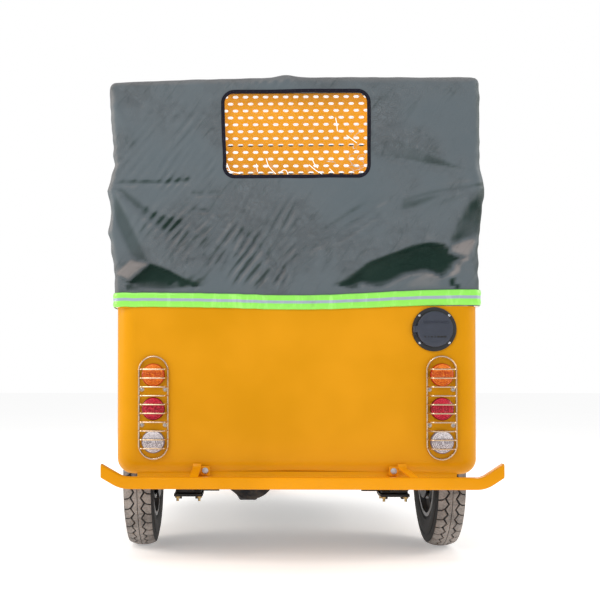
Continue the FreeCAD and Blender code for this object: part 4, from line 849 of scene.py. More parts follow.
    def screw(self, spot: Vector, axis: Vector, size: float = 0.004, tint: int = 0) -> None:
        """Domed screw head with a cross recess."""
        self.lathe([(0.0, size), (size * 0.25, size), (size * 0.55, size * 0.75), (size * 0.66, size * 0.4),
                    (size * 0.5, size * 0.16), (size * 0.36, 0.0)], spot, axis, 16, tint)

    def piece(self, name: str, body: str, finishes: Sequence[bpy.types.Material], slot: str,
              instead: Sequence[str] = (), sharp: float = 38.0) -> bpy.types.Object:
        """Make the object and let it ride on a body.

        Args:
            name: Name of the piece.
            body: Body that carries it.
            finishes: Materials, in the order of the tints.
            slot: Name of the material slot; not used.
            instead: Nodes that it stands for.
            sharp: Angle in degrees above which an edge stays sharp.

        Returns:
            The object.
        """
        mesh = bpy.data.meshes.new(name)
        mesh.from_pydata([tuple(p) for p in self.points], [], self.faces)
        mesh.polygons.foreach_set("material_index", self.tints)
        work = bmesh.new()
        work.from_mesh(mesh)
        bmesh.ops.remove_doubles(work, verts=work.verts, dist=1e-6)
        bmesh.ops.recalc_face_normals(work, faces=work.faces)
        work.to_mesh(mesh)
        work.free()
        shade_smooth(mesh, sharp)
        for finish in finishes:
            mesh.materials.append(finish)
        return settle(add_object(name, mesh), body, instead)


def settle(made: bpy.types.Object, body: str, instead: Sequence[str] = ()) -> bpy.types.Object:
    """Let an object ride on a body and the nodes that it stands for.

    Args:
        made: Object in its place.
        body: Body that carries it.
        instead: Nodes that it stands for.

    Returns:
        The object.
    """
    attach(made, body)
    if instead:
        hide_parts(*instead)
    LOG.info("piece %s on %s", made.name, body)
    return made


def inset(outline: Sequence[Pair], reach: float) -> list[Pair]:
    """Move an anticlockwise outline inward.

    Args:
        outline: Corners.
        reach: Distance inward.

    Returns:
        The moved corners.
    """
    count = len(outline)
    moved = []
    for i in range(count):
        point = Vector(outline[i])
        before = (point - Vector(outline[i - 1])).normalized()
        after = (Vector(outline[(i + 1) % count]) - point).normalized()
        normal = Vector((-before.y - after.y, before.x + after.x))
        half = max(normal.length / 2.0, 0.3)
        moved.append(tuple(point + normal.normalized() * (reach / half)))
    return moved


def facing(spot: Vector, axis: Vector, upward: Vector = UP) -> Matrix:
    """Matrix of a place whose Z looks along an axis and whose Y keeps upward.

    Args:
        spot: Origin of the place.
        axis: Direction that the place faces.
        upward: Direction that its Y keeps to.

    Returns:
        The matrix.
    """
    out = axis.normalized()
    if abs(out.dot(upward)) > 0.99:
        upward = AHEAD
    across = upward.cross(out).normalized()
    over = out.cross(across)
    return Matrix.Translation(spot) @ Matrix((across, over, out)).transposed().to_4x4()


def rounded(half_x: float, half_y: float, radius: float, steps: int = 8) -> list[Pair]:
    """Rounded rectangle about its middle, anticlockwise.

    Args:
        half_x: Half of its width.
        half_y: Half of its height.
        radius: Radius of its corners.
        steps: Steps of each corner.

    Returns:
        The outline.
    """
    spots = ((half_x - radius, half_y - radius, 0.0), (radius - half_x, half_y - radius, 90.0),
             (radius - half_x, radius - half_y, 180.0), (half_x - radius, radius - half_y, 270.0))
    return [(x + radius * math.cos(math.radians(start + 90.0 * k / steps)),
             y + radius * math.sin(math.radians(start + 90.0 * k / steps)))
            for x, y, start in spots for k in range(steps + 1)]


def smooth_path(points: Sequence[Vector], radius: float, steps: int = 6) -> list[Vector]:
    """Round the inner corners of a path.

    Args:
        points: Corners of the path.
        radius: Distance from each corner at which its bend starts.
        steps: Steps of each bend.

    Returns:
        Points along the path.
    """
    path = [points[0]]
    for before, corner, after in zip(points, points[1:], points[2:]):
        start = corner + (before - corner).normalized() * min(radius, (before - corner).length * 0.49)
        end = corner + (after - corner).normalized() * min(radius, (after - corner).length * 0.49)
        for k in range(steps + 1):
            t = k / steps
            path.append(start.lerp(corner, t).lerp(corner.lerp(end, t), t))
    path.append(points[-1])
    return path


def circle(radius: float, steps: int = 12) -> list[Pair]:
    """Circle about its middle, anticlockwise."""
    return [polar(radius, turn) for turn in turns(steps)]


NODE_FINISHES = {
    "yellow": ("rear_panel", "side_panel_left", "side_panel_right", "front_cowl", "seat_bases", "front_mudguard"),
    "bumper": ("window_grille",),
    "black_paint": ("wheel_houses", "chassis_frame", "windshield_frame", "cabin_rails", "rear_axle", "hood_bows",
                    "steering_fork", "handlebar"),
    "grey_paint": ("floor_pan",),
    "silver_paint": ("rear_rim_left", "rear_rim_right", "front_rim"),
    "battery": ("battery_pack",),
    "alloy": ("drive_motor",),
    "steel": ("rear_suspension",),
    "chrome": ("headlamps",),
    "glass": ("windshield_glass",),
    "rubber": ("grips",),
    "black_plastic": ("dashboard", "mirrors", "charge_port"),
}


def dress_nodes(palette: Palette) -> None:
    """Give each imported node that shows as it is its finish.

    Args:
        palette: Finishes.
    """
    for finish, nodes in NODE_FINISHES.items():
        for node in nodes:
            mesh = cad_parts[node].data
            mesh.materials.clear()
            mesh.materials.append(getattr(palette, finish))
            shade_smooth(mesh, NODE_SHARP)
            LOG.info("node %s dressed", node)


# Studio

@dataclass
class Studio:
    """Camera at the photograph's place, soft lights and a pale floor."""

    eye: Vector = field(default_factory=lambda: Vector((-0.180, -4.545, 0.664)))
    aim: Vector = field(default_factory=lambda: Vector((0.0, -0.4, 0.9)))
    lens: float = 55.95
    shift: Pair = (0.1270, 0.1)
    tilt: float = 0.92
    turn: float = 1.3
    floor_size: float = 60.0
    ambient: float = 0.66
    floor_glow: float = 0.31

    def set_camera(self) -> None:
        """Place the camera."""
        data = bpy.data.cameras.new("camera")
        data.lens = self.lens
        data.shift_x, data.shift_y = self.shift
        made = add_object("camera", data)
        made.location = self.eye
        made.rotation_euler = (math.radians(90.0 + self.tilt), 0.0, math.radians(self.turn))
        bpy.context.scene.camera = made

    def _lamp(self, name: str, spot: Vector, size: float, power: float, colour: Colour) -> None:
        """Add one soft lamp, aimed at the vehicle's middle.

        Args:
            name: Name of the lamp.
            spot: Place of the lamp.
            size: Width in metres.
            power: Power in watts.
            colour: Colour of the light.
        """
        data = bpy.data.lights.new(name, "AREA")
        data.size = size
        data.energy = power
        data.color = colour
        made = add_object(name, data)
        made.location = spot
        made.rotation_euler = (self.aim - spot).to_track_quat("-Z", "Y").to_euler()

    def set_lights(self) -> None:
        """Hang the soft lamps and light the surroundings."""
        self._lamp("lamp_over_rear", Vector((-1.9, -5.2, 4.6)), 2.2, 95.0, (1.0, 0.99, 0.97))
        self._lamp("lamp_left", Vector((-4.4, -1.0, 2.2)), 2.2, 80.0, (1.0, 0.90, 0.80))
        self._lamp("lamp_right", Vector((4.4, -0.8, 2.6)), 2.2, 80.0, (1.0, 0.93, 0.86))
        self._lamp("lamp_front", Vector((1.0, 4.4, 3.0)), 3.0, 90.0, (1.0, 1.0, 1.0))
        world = bpy.data.worlds.new("studio_white")
        world.use_nodes = True
        tree = world.node_tree
        tree.nodes.clear()
        seen, cast = (tree.nodes.new("ShaderNodeBackground") for _ in range(2))
        seen.inputs["Color"].default_value = cast.inputs["Color"].default_value = WHITE
        cast.inputs["Strength"].default_value = self.ambient
        chosen = tree.nodes.new("ShaderNodeMixShader")
        rays = tree.nodes.new("ShaderNodeLightPath")
        tree.links.new(rays.outputs["Is Camera Ray"], chosen.inputs[0])
        tree.links.new(cast.outputs[0], chosen.inputs[1])
        tree.links.new(seen.outputs[0], chosen.inputs[2])
        tree.links.new(chosen.outputs[0], tree.nodes.new("ShaderNodeOutputWorld").inputs[0])
        bpy.context.scene.world = world
        bpy.context.scene.view_settings.view_transform = "Standard"

    def lay_floor(self) -> None:
        """Lay the floor."""
        half = self.floor_size / 2.0
        mesh = bpy.data.meshes.new("floor")
        mesh.from_pydata([(-half, -half, 0.0), (half, -half, 0.0), (half, half, 0.0), (-half, half, 0.0)], [],
                         [(0, 1, 2, 3)])
        made = add_object("floor", mesh)
        graph = Graph("pale_floor")
        tone = graph.cloud(0.7, 2.0)
        mesh.materials.append(graph.surface({
            "Base Color": graph.mix(tone, (0.97, 0.97, 0.97), (0.99, 0.99, 0.99)), "Roughness": 0.9,
            "Specular IOR Level": 0.0, "Emission Color": WHITE, "Emission Strength": self.floor_glow}))

    def build(self) -> None:
        """Set up the whole studio."""
        self.set_camera()
        self.set_lights()
        self.lay_floor()


# Hood

COARSE = 2.5
VERY_COARSE = 5.0
FAR_FROM_REAR = 0.85
NEAR_REAR = 0.06


def along_line(start: Pair, end: Pair, u: float, v: float) -> Pair:
    """Place a point by a line.

    Args:
        start: Start of the line.
        end: End of the line.
        u: Place across the face.
        v: Place up the face.

    Returns:
        The share of the line's length, and the distance to its left.
    """
    run_u, run_v = end[0] - start[0], end[1] - start[1]
    length = math.hypot(run_u, run_v)
    off_u, off_v = u - start[0], v - start[1]
    return (off_u * run_u + off_v * run_v) / (length * length), (off_v * run_u - off_u * run_v) / length


@dataclass(frozen=True)
class Fold:
    """A ridge or a valley of the cloth, along a line in the plane of a face."""

    start: Pair
    end: Pair
    height: float
    left: float
    right: float
    fade: float = 0.25

    def lift(self, u: float, v: float) -> float:
        """Height of the fold at a place.

        Args:
            u: Place across the face.
            v: Place up the face.

        Returns:
            Height in metres.
        """
        share, away = along_line(self.start, self.end, u, v)
        reach = self.left if away > 0.0 else self.right
        ends = ease(-0.06, self.fade, share) * (1.0 - ease(1.0 - self.fade, 1.06, share))
        return self.height * ends * math.exp(-abs(away / reach) ** 1.2)


@dataclass(frozen=True)
class Bumps:
    """Soft unevenness all over a face."""

    height: float
    per_metre_u: float
    per_metre_v: float
    seed: float

    def lift(self, u: float, v: float, side: float = 1.0) -> float:
        """Height in metres at a place across and up the face, other for each side."""
        return self.height * noise.noise(Vector((u * self.per_metre_u, v * self.per_metre_v, self.seed * side)))


@dataclass(frozen=True)
class Ripples:
    """A field of parallel creases inside a slanting band."""

    start: Pair
    end: Pair
    reach: float
    angle: float
    pitch: float
    height: float
    seed: float

    def lift(self, u: float, v: float) -> float:
        """Height of the creases at a place.

        Args:
            u: Place across the face.
            v: Place up the face.

        Returns:
            Height in metres.
        """
        share, away = along_line(self.start, self.end, u, v)
        cover = ease(-0.15, 0.12, share) * (1.0 - ease(0.85, 1.12, share)) * math.exp(-(away / self.reach) ** 2)
        if cover < 0.01:
            return 0.0
        turn = math.radians(self.angle)
        crest = u * math.cos(turn) + v * math.sin(turn)
        cross = v * math.cos(turn) - u * math.sin(turn)
        wander = noise.noise(Vector((crest * 4.0, cross * 7.0, self.seed)))
        phase = 2.0 * math.pi * (cross / self.pitch + wander * 0.9)
        wave = math.sin(phase) + 0.35 * math.sin(2.0 * phase + 0.9)
        broken = 0.25 + 0.75 * ease(-0.4, 0.3, noise.noise(Vector((crest * 7.0, cross * 14.0, self.seed + 7.0))))
        return self.height * cover * wave * broken


@dataclass(frozen=True)
class Patch:
    """A pocket or a raised facet of the cloth inside a polygon, with painted shade in a pocket and painted
    highlight where its shade is below 0.
    """

    corners: tuple[Pair, ...]
    depth: float
    shade: float
    soft: float = 0.008

    def cover(self, u: float, v: float) -> float:
        """Share of the patch at a place.

        Args:
            u: Place across the face.
            v: Place up the face.

        Returns:
            Share from 0 outside to 1 inside.
        """
        near = 1.0
        inside = False
        for (u0, v0), (u1, v1) in zip(self.corners, self.corners[1:] + self.corners[:1]):
            run_u, run_v = u1 - u0, v1 - v0
            share = ((u - u0) * run_u + (v - v0) * run_v) / (run_u * run_u + run_v * run_v)
            share = min(max(share, 0.0), 1.0)
            near = min(near, math.hypot(u - u0 - run_u * share, v - v0 - run_v * share))
            if (v0 > v) != (v1 > v) and u < u0 + run_u * (v - v0) / run_v:
                inside = not inside
        return ease(-self.soft, self.soft, near if inside else -near)


# Each patch: its corners, the depth of its pocket (below 0 raised), its painted shade (below 0 painted highlight)
# and the softness of its edge.
REAR_PATCHES = (
    Patch(((0.142, 0.974), (0.180, 0.990), (0.248, 1.048), (0.336, 1.082), (0.412, 1.107), (0.458, 1.118),
           (0.509, 1.111), (0.534, 1.082), (0.577, 1.069), (0.527, 1.018), (0.509, 1.002), (0.446, 1.027),
           (0.378, 1.014), (0.290, 0.966), (0.225, 0.983), (0.205, 0.956)), 0.018, 1.0),
    Patch(((-0.587, 0.988), (-0.512, 1.048), (-0.442, 1.021), (-0.388, 0.991), (-0.330, 0.973), (-0.388, 0.966),
           (-0.466, 0.962), (-0.532, 0.966)), 0.016, 1.0),
    Patch(((-0.637, 1.300), (-0.620, 1.275), (-0.567, 1.170), (-0.512, 1.052), (-0.552, 1.055), (-0.582, 1.090),
           (-0.622, 1.175), (-0.642, 1.230)), 0.006, 0.45, 0.010),
    Patch(((0.619, 1.284), (0.560, 1.200), (0.534, 1.141), (0.539, 1.107), (0.594, 1.132), (0.623, 1.158),
           (0.636, 1.234)), 0.006, 0.5, 0.016),
    Patch(((0.644, 1.324), (0.475, 1.305), (0.370, 1.276), (0.361, 1.238), (0.391, 1.234), (0.509, 1.288)),
          0.006, 0.45, 0.012),
    Patch(((-0.637, 1.313), (-0.607, 1.315), (-0.502, 1.230), (-0.387, 1.195), (-0.452, 1.150), (-0.527, 1.215),
           (-0.587, 1.265)), 0.006, 0.5, 0.012),
    Patch(((-0.640, 1.330), (-0.602, 1.345), (-0.467, 1.340), (-0.367, 1.352), (-0.367, 1.335), (-0.602, 1.325)),
          0.004, 0.45, 0.008),
    Patch(((-0.627, 1.015), (-0.577, 1.060), (-0.512, 1.050), (-0.582, 0.988)), -0.010, -1.0, 0.006),
    Patch(((0.530, 1.107), (0.602, 1.132), (0.623, 1.124), (0.594, 1.056), (0.538, 1.078)), -0.008, -0.9, 0.010),
    Patch(((0.526, 1.012), (0.534, 1.000), (0.572, 0.962), (0.562, 0.957), (0.534, 0.975)), 0.008, 1.0, 0.005),
    Patch(((0.535, 1.012), (0.556, 1.064), (0.572, 1.062), (0.552, 1.000), (0.542, 0.992)), -0.006, -0.7, 0.005),
    Patch(((-0.597, 0.975), (-0.572, 0.982), (-0.532, 0.962), (-0.592, 0.958)), 0.006, 0.7, 0.006),
    Patch(((0.380, 0.975), (0.470, 1.022), (0.500, 0.992), (0.500, 0.962), (0.390, 0.960)), -0.006, -0.35, 0.010),
)
REAR_FOLDS = (
    Fold((-0.640, 1.310), (-0.330, 0.985), 0.016, 0.050, 0.060, 0.12),
    Fold((-0.500, 1.225), (-0.060, 1.020), 0.007, 0.040, 0.030, 0.15),
    Fold((-0.200, 1.175), (-0.030, 1.010), -0.008, 0.010, 0.014, 0.15),
    Fold((-0.360, 1.236), (-0.285, 1.232), -0.005, 0.006, 0.006, 0.15),
    Fold((-0.285, 1.232), (-0.235, 1.190), -0.005, 0.006, 0.006, 0.15),
    Fold((-0.325, 1.085), (-0.290, 1.045), -0.005, 0.005, 0.005, 0.15),
    Fold((-0.370, 1.294), (-0.250, 1.296), -0.006, 0.006, 0.006, 0.15),
    Fold((0.644, 1.330), (0.370, 1.255), 0.014, 0.040, 0.030, 0.12),
    Fold((0.648, 1.345), (0.240, 1.540), 0.012, 0.026, 0.034, 0.12),
    Fold((0.640, 1.362), (0.260, 1.430), -0.007, 0.018, 0.018, 0.15),
    Fold((0.180, 1.000), (0.440, 1.130), 0.010, 0.040, 0.016, 0.15),
    Fold((0.440, 1.130), (0.540, 1.100), 0.010, 0.040, 0.016, 0.20),
    Fold((0.620, 1.300), (0.540, 1.120), 0.008, 0.030, 0.030, 0.20),
    Fold((0.270, 1.218), (0.330, 1.188), -0.005, 0.010, 0.006, 0.20),
    Fold((0.012, 1.120), (0.350, 1.300), -0.006, 0.010, 0.010, 0.20),
    Fold((0.012, 1.080), (0.290, 1.235), -0.007, 0.010, 0.012, 0.20),
    Fold((-0.650, 1.640), (-0.570, 1.470), 0.007, 0.020, 0.020, 0.20),
    Fold((-0.640, 1.690), (-0.520, 1.600), -0.006, 0.012, 0.016, 0.20),
)
REAR_RIPPLES = (
    Ripples((-0.520, 1.200), (-0.060, 1.000), 0.075, 53.0, 0.027, 0.0048, 1.0),
    Ripples((-0.400, 1.230), (-0.120, 1.110), 0.060, 50.0, 0.030, 0.0040, 10.0),
    Ripples((-0.620, 1.400), (-0.300, 1.600), 0.095, 50.0, 0.027, 0.0019, 2.0),
    Ripples((-0.480, 1.340), (-0.250, 1.400), 0.070, 54.0, 0.027, 0.0022, 3.0),
    Ripples((-0.200, 1.230), (0.050, 1.210), 0.090, 62.0, 0.027, 0.0030, 4.0),
    Ripples((-0.020, 1.060), (0.290, 1.260), 0.070, 40.0, 0.032, 0.0048, 5.0),
    Ripples((-0.280, 1.030), (0.060, 0.970), 0.050, 56.0, 0.027, 0.0050, 6.0),
    Ripples((0.020, 1.020), (0.110, 1.060), 0.030, 48.0, 0.026, 0.0040, 7.0),
    Ripples((-0.440, 0.975), (-0.330, 0.970), 0.022, 48.0, 0.030, 0.0060, 8.0),
    Ripples((-0.260, 1.690), (0.100, 1.680), 0.028, 58.0, 0.028, 0.0026, 9.0),
    Ripples((0.360, 0.975), (0.520, 0.975), 0.020, 100.0, 0.036, 0.0030, 11.0),
)
REAR_BUMPS = (Bumps(0.0030, 6.0, 6.0, 3.0), Bumps(0.0013, 26.0, 22.0, 5.0))
SIDE_BUMPS = (Bumps(0.010, 7.0, 3.4, 11.0), Bumps(0.005, 17.0, 9.0, 13.0))
ROOF_BUMPS = (Bumps(0.004, 4.0, 4.0, 17.0), Bumps(0.0022, 15.0, 11.0, 19.0))
PANE_SLACK = Bumps(0.0028, 8.0, 11.0, 31.0)
PANE_CRINKLE = Bumps(0.0024, 30.0, 24.0, 37.0)
STRIP_SECTION = ((0.0, 0.0004), (0.04, 0.0020), (0.2, 0.0036), (0.34, 0.0030), (0.42, 0.0026), (0.62, 0.0026),
                 (0.70, 0.0030), (0.82, 0.0036), (0.96, 0.0020), (1.0, 0.0004))
STRIPE_ROW = 4
STRIP_SWAY = (Bumps(0.003, 2.0, 2.0, 41.0), Bumps(0.0015, 30.0, 30.0, 43.0))
PANE_CREASES = (
    ((-0.106, 1.419), (-0.100, 1.395), (-0.086, 1.378), (-0.072, 1.364)),
    ((-0.060, 1.366), (-0.046, 1.380), (-0.034, 1.376), (-0.030, 1.362)),
    ((0.043, 1.396), (0.066, 1.376), (0.090, 1.362)),
    ((0.054, 1.420), (0.060, 1.400), (0.074, 1.384)),
    ((0.174, 1.498), (0.192, 1.484), (0.209, 1.471)),
    ((0.136, 1.560), (0.140, 1.535), (0.142, 1.512)),
    ((-0.243, 1.402), (-0.236, 1.384), (-0.228, 1.368)),
    ((0.114, 1.382), (0.130, 1.366)),
    ((-0.248, 1.382), (-0.222, 1.372), (-0.196, 1.366)), ((-0.136, 1.372), (-0.140, 1.400)),
)
LEFT_EDGE = ((0.90, 0.640), (1.012, 0.640), (1.082, 0.649), (1.122, 0.655), (1.162, 0.662), (1.197, 0.659),
             (1.237, 0.653), (1.282, 0.658), (1.315, 0.668), (1.340, 0.659), (1.362, 0.652), (1.405, 0.643),
             (1.453, 0.644), (1.537, 0.652), (1.609, 0.657), (1.674, 0.660), (1.720, 0.657))
RIGHT_EDGE = ((0.90, 0.640), (1.066, 0.636), (1.108, 0.637), (1.172, 0.642), (1.223, 0.649), (1.257, 0.652),
              (1.316, 0.660), (1.332, 0.658), (1.362, 0.648), (1.382, 0.644), (1.465, 0.642), (1.609, 0.643),
              (1.720, 0.640))


def between(table: Sequence[Pair], place: float) -> float:
    """Read a table, with straight lines between its entries.

    Args:
        table: Places with their values, in order.
        place: Place to read.

    Returns:
        The value there.
    """
    for (low, first), (high, second) in zip(table, table[1:]):
        if place <= high:
            return first + (second - first) * min(max((place - low) / (high - low), 0.0), 1.0)
    return table[-1][1]


@dataclass
class Maker:
    """Maker of pieces that share one palette."""

    palette: Palette


@dataclass
class Hood(Maker):
    """Soft top: one sewn sheet over the bows, with its window, binding and reflective strip."""

    cloth: float = 0.0016
    step: float = 0.0072
    corner: Vector = field(default_factory=lambda: Vector((0.026, 0.050, 0.026)))
    belt_half: float = 0.638
    knee_half: float = 0.662
    top_half: float = 0.646
    knee: float = 1.332
    roof: float = 1.713
    crown: float = 0.010
    slope_start: float = 0.150
    front_drop: float = 0.038
    skirt: float = 1.588
    quarter: float = -0.420
    quarter_lean: float = 0.070
    door_corner: float = 0.110
    window_half: float = 0.2525
    window_low: float = 1.362
    window_high: float = 1.648
    window_corner: float = 0.034
    rear_depth: float = 0.020
    plain_depth: float = 0.0055
    side_sag: float = 0.014
    roof_sag: float = 0.006
    pane_sheet: float = 0.0008
    strip_sheet: float = 0.0012
    strip_width: float = 0.050
    bow_pucker: float = 0.011

    def __post_init__(self) -> None:
        """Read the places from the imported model."""
        low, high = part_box("hood_canopy")
        self.rear = low.y
        self.front = high.y
        self.foot = low.z
        self.edge = self.roof - self.crown

    def half_width(self, x: float, y: float, z: float) -> float:
        """Half of the hood's width at a height, slack and uneven near the rear corners.

        Args:
            x: Place across, for its side.
            y: Place along.
            z: Height.

        Returns:
            Half of the width.
        """
        below = self.belt_half + (self.knee_half - self.belt_half) * (z - self.foot) / (self.knee - self.foot)
        above = self.knee_half + (self.top_half - self.knee_half) * (z - self.knee) / (self.edge - self.knee)
        near = 1.0 - ease(0.06, 0.40, y - self.rear)
        slack = between(LEFT_EDGE if x < 0.0 else RIGHT_EDGE, z)
        plain = min(below, above)
        return plain + (slack - plain) * near

    def roof_height(self, x: float, y: float) -> float:
        """Height of the roof above or below the height of its edge.

        Args:
            x: Place across.
            y: Place along.

        Returns:
            Height over the edge's.
        """
        rise = self.crown * (1.0 - (x / self.top_half) ** 2) + 0.004 * x / self.top_half
        drop = ease(self.slope_start, self.front * 1.4, y) * self.front_drop * 2.0
        pucker = self.bow_pucker * math.exp(-((x + 0.035) / 0.036) ** 2 - ((y - self.rear - 0.05) / 0.07) ** 2)
        return rise - drop + pucker

    def relief(self, x: float, y: float, z: float, out: Vector) -> float:
        """Height of the folds over the plain form.

        Args:
            x: Place across.
            y: Place along.
            z: Height.
            out: Direction out of the form.

        Returns:
            The height in metres.
        """
        hem = ease(self.foot + 0.035, self.foot + 0.10, z)
        frame_band = max(abs(x) - self.window_half, self.window_low - z, z - self.window_high)
        calm = ease(0.004, 0.055, frame_band)
        total = 0.0
        rear_share = max(-out.y, 0.0) ** 2
        if rear_share > 0.01:
            lift = sum(form.lift(x, z) for form in REAR_FOLDS + REAR_RIPPLES + REAR_BUMPS)
            lift -= sum(patch.depth * patch.cover(x, z) for patch in REAR_PATCHES)
            total += rear_share * max(lift, -self.rear_depth) * calm
        side_share = out.x ** 2
        if side_share > 0.01:
            side = 1.0 if x > 0.0 else -1.0
            reach = y - self.rear
            lift = sum(form.lift(y, z, side) for form in SIDE_BUMPS) * ease(0.02, 0.25, reach)
            sag = (z - self.foot) / (self.knee - self.foot)
            lift -= self.side_sag * math.sin(math.pi * min(max(sag, 0.0), 1.0)) * ease(0.06, 0.3, reach)
            lift += 0.006 * math.exp(-((reach - 0.05) / 0.05) ** 2) * noise.noise(Vector((3.0, z * 26.0, side)))
            total += side_share * max(lift, -self.plain_depth) * ease(self.quarter, self.quarter - 0.06, y)
        roof_share = max(out.z, 0.0) ** 2
        if roof_share > 0.01:
            lift = sum(form.lift(x, y) for form in ROOF_BUMPS)
            lift -= self.roof_sag * math.sin(math.pi * ease(self.rear, self.quarter, y)) ** 2
            total += roof_share * max(lift, -self.plain_depth)
        return total * hem

    def surface(self, x: float, y: float, z: float) -> Vector:
        """Point of the cloth for a point of the plain box round it.

        Args:
            x: Place across the box.
            y: Place along the box.
            z: Height on the box.

        Returns:
            The point.
        """
        r = self.corner
        core = Vector((min(max(x, r.x - self.knee_half), self.knee_half - r.x), max(y, self.rear + r.y),
                       min(z, self.edge - r.z)))
        off = Vector((x, y, z)) - core
        round_off = Vector((off.x / r.x, off.y / r.y, off.z / r.z))
        shrink = 1.0 / max(round_off.length, 1.0)
        plain = core + off * shrink
        out = Vector((round_off.x / r.x, round_off.y / r.y, round_off.z / r.z)).normalized()
        wide = self.half_width(plain.x, plain.y, plain.z) / self.knee_half
        raised = ease(self.window_high + 0.006, self.edge, plain.z)
        spot = Vector((plain.x * wide, plain.y,
                       plain.z + self.roof_height(plain.x * wide, plain.y) * raised))
        return spot + out * self.relief(spot.x, spot.y, spot.z, out)

    @staticmethod
    def _steps(low: float, high: float, pitch: float, fine_to: float = 0.0) -> list[float]:
        """Even places from low to high, coarser beyond a place and coarser still far beyond it.

        Args:
            low: First place.
            high: Last place.
            pitch: Distance between places.
            fine_to: Place where the pitch grows, if it is above low.

        Returns:
            The places.
        """
        places = [low]
        while places[-1] < high - pitch * 0.6:
            over = places[-1] - fine_to if fine_to > low else -1.0
            growth = 1.0 if over < 0.0 else COARSE if over < FAR_FROM_REAR else VERY_COARSE
            places.append(places[-1] + pitch * growth)
        places[-1] = high
        return places

    def _open_side(self, y: float, z: float) -> float:
        """Signed distance into the side's doorway: above 0 it is open.

        Args:
            y: Place along.
            z: Height.

        Returns:
            Distance in metres.
        """
        lean = self.quarter + self.quarter_lean * (z - self.foot) / (self.skirt - self.foot)
        inward = y - lean
        under = self.skirt - z
        r = self.door_corner
        if inward < r and under < r:
            return r - math.hypot(r - inward, r - under)
        return min(inward, under)

    def _open_window(self, x: float, z: float) -> float:
        """Signed distance into the window: above 0 it is open.

        Args:
            x: Place across.
            z: Height.

        Returns:
            Distance in metres.
        """
        r = self.window_corner
        in_x = self.window_half - abs(x)
        in_z = min(z - self.window_low, self.window_high - z)
        if in_x < r and in_z < r:
            return r - math.hypot(r - in_x, r - in_z)
        return min(in_x, in_z)

    def _lengthwise(self) -> list[float]:
        """Places along the hood, fine at the rear and round the doorway's edge.

        Returns:
            The grid's places.
        """
        ys = self._steps(self.rear, self.front, self.step, self.rear + NEAR_REAR)
        start = max(y for y in ys if y < self.quarter - 0.01)
        end = min(y for y in ys if y > self.quarter + self.quarter_lean + self.door_corner)
        count = math.ceil((end - start) / self.step)
        fine = [start + (end - start) * k / count for k in range(1, count)]
        return [y for y in ys if y <= start] + fine + [y for y in ys if y >= end]

    def _snapped(self, u: float, v: float, opening: Callable[[float, float], float]) -> Pair:
        """Move a grid point near an opening's edge onto that edge.

        Args:
            u: First place of the point.
            v: Second place.
            opening: Distance into the opening.

        Returns:
            The moved point.
        """
        depth = opening(u, v)
        if abs(depth) > self.step * 0.75:
            return u, v
        small = 1e-4
        slope_u = (opening(u + small, v) - opening(u - small, v)) / (2.0 * small)
        slope_v = (opening(u, v + small) - opening(u, v - small)) / (2.0 * small)
        size = max(slope_u ** 2 + slope_v ** 2, 0.2)
        move_u, move_v = depth * slope_u / size, depth * slope_v / size
        if max(abs(move_u), abs(move_v)) > self.step * 0.6:
            return u, v
        return u - move_u, v - move_v

    def sheet(self) -> bpy.types.Object:
        """Make the hood's cloth.

        Returns:
            The object.
        """
        half = self.knee_half
        xs = self._steps(-half, half, self.step)
        ys = self._lengthwise()
        zs = self._steps(self.foot, self.edge, self.step)
        work = bmesh.new()
        known: dict[tuple[float, float, float], bmesh.types.BMVert] = {}

        def vert(x: float, y: float, z: float) -> bmesh.types.BMVert:
            """Vertex of the cloth for a point of the box, made once.

            Args:
                x: Place across.
                y: Place along.
                z: Height.

            Returns:
                The vertex.
            """
            key = (round(x, 5), round(y, 5), round(z, 5))
            if key not in known:
                known[key] = work.verts.new(self.surface(x, y, z))
            return known[key]

        def panel(us: Sequence[float], vs: Sequence[float], point: Callable[[float, float], tuple],
                  opening: Callable[[float, float], float]) -> None:
            """Skin one face of the box, leaving its opening out.

            Args:
                us: Places along the face's first side.
                vs: Places along its second side.
                point: Point of the box for two places.
                opening: Distance into the opening for two places.
            """
            for u0, u1 in zip(us, us[1:]):
                for v0, v1 in zip(vs, vs[1:]):
                    if opening((u0 + u1) / 2.0, (v0 + v1) / 2.0) > 0.0:
                        continue
                    corners = [vert(*point(*self._snapped(u, v, opening))) for u, v in
                               ((u0, v0), (u1, v0), (u1, v1), (u0, v1))]
                    if len(set(corners)) > 2:
                        try:
                            work.faces.new(list(dict.fromkeys(corners)))
                        except ValueError:
                            LOG.debug("double face left out")

        panel(xs, zs, lambda x, z: (x, self.rear, z), self._open_window)
        panel(xs, ys, lambda x, y: (x, y, self.edge), lambda x, y: -1.0)
        for side in (-half, half):
            panel(ys, zs, lambda y, z, at=side: (at, y, z), self._open_side)
        bmesh.ops.recalc_face_normals(work, faces=work.faces)
        mesh = bpy.data.meshes.new("hood")
        work.to_mesh(mesh)
        work.free()
        # Painted shade and painted highlight set on the vertices.
        self._paint_fold_shading(mesh)
        shade_smooth(mesh)
        made = add_object("hood", mesh)
        mesh.materials.append(self.palette.canvas)
        # Inner face in the lining finish, which glows: painted light.
        mesh.materials.append(self.palette.glowing_lining)
        thick = thicken(made, self.cloth)
        thick.offset = -1.0
        thick.material_offset = 1
        return settle(made, "body", ["hood_canopy"])

    def _paint_fold_shading(self, mesh: bpy.types.Mesh) -> None:
        """Note on each vertex its painted shade where it turns down or lies in a pocket, and its painted highlight
        where it turns up.

        Args:
            mesh: Mesh of the hood.
        """
        marks = mesh.attributes.new("painted_shading", "FLOAT", "POINT")
        values = []
        for vertex in mesh.vertices:
            spot, normal = vertex.co, vertex.normal
            painted_tone = 0.0
            if normal.y < -0.3:
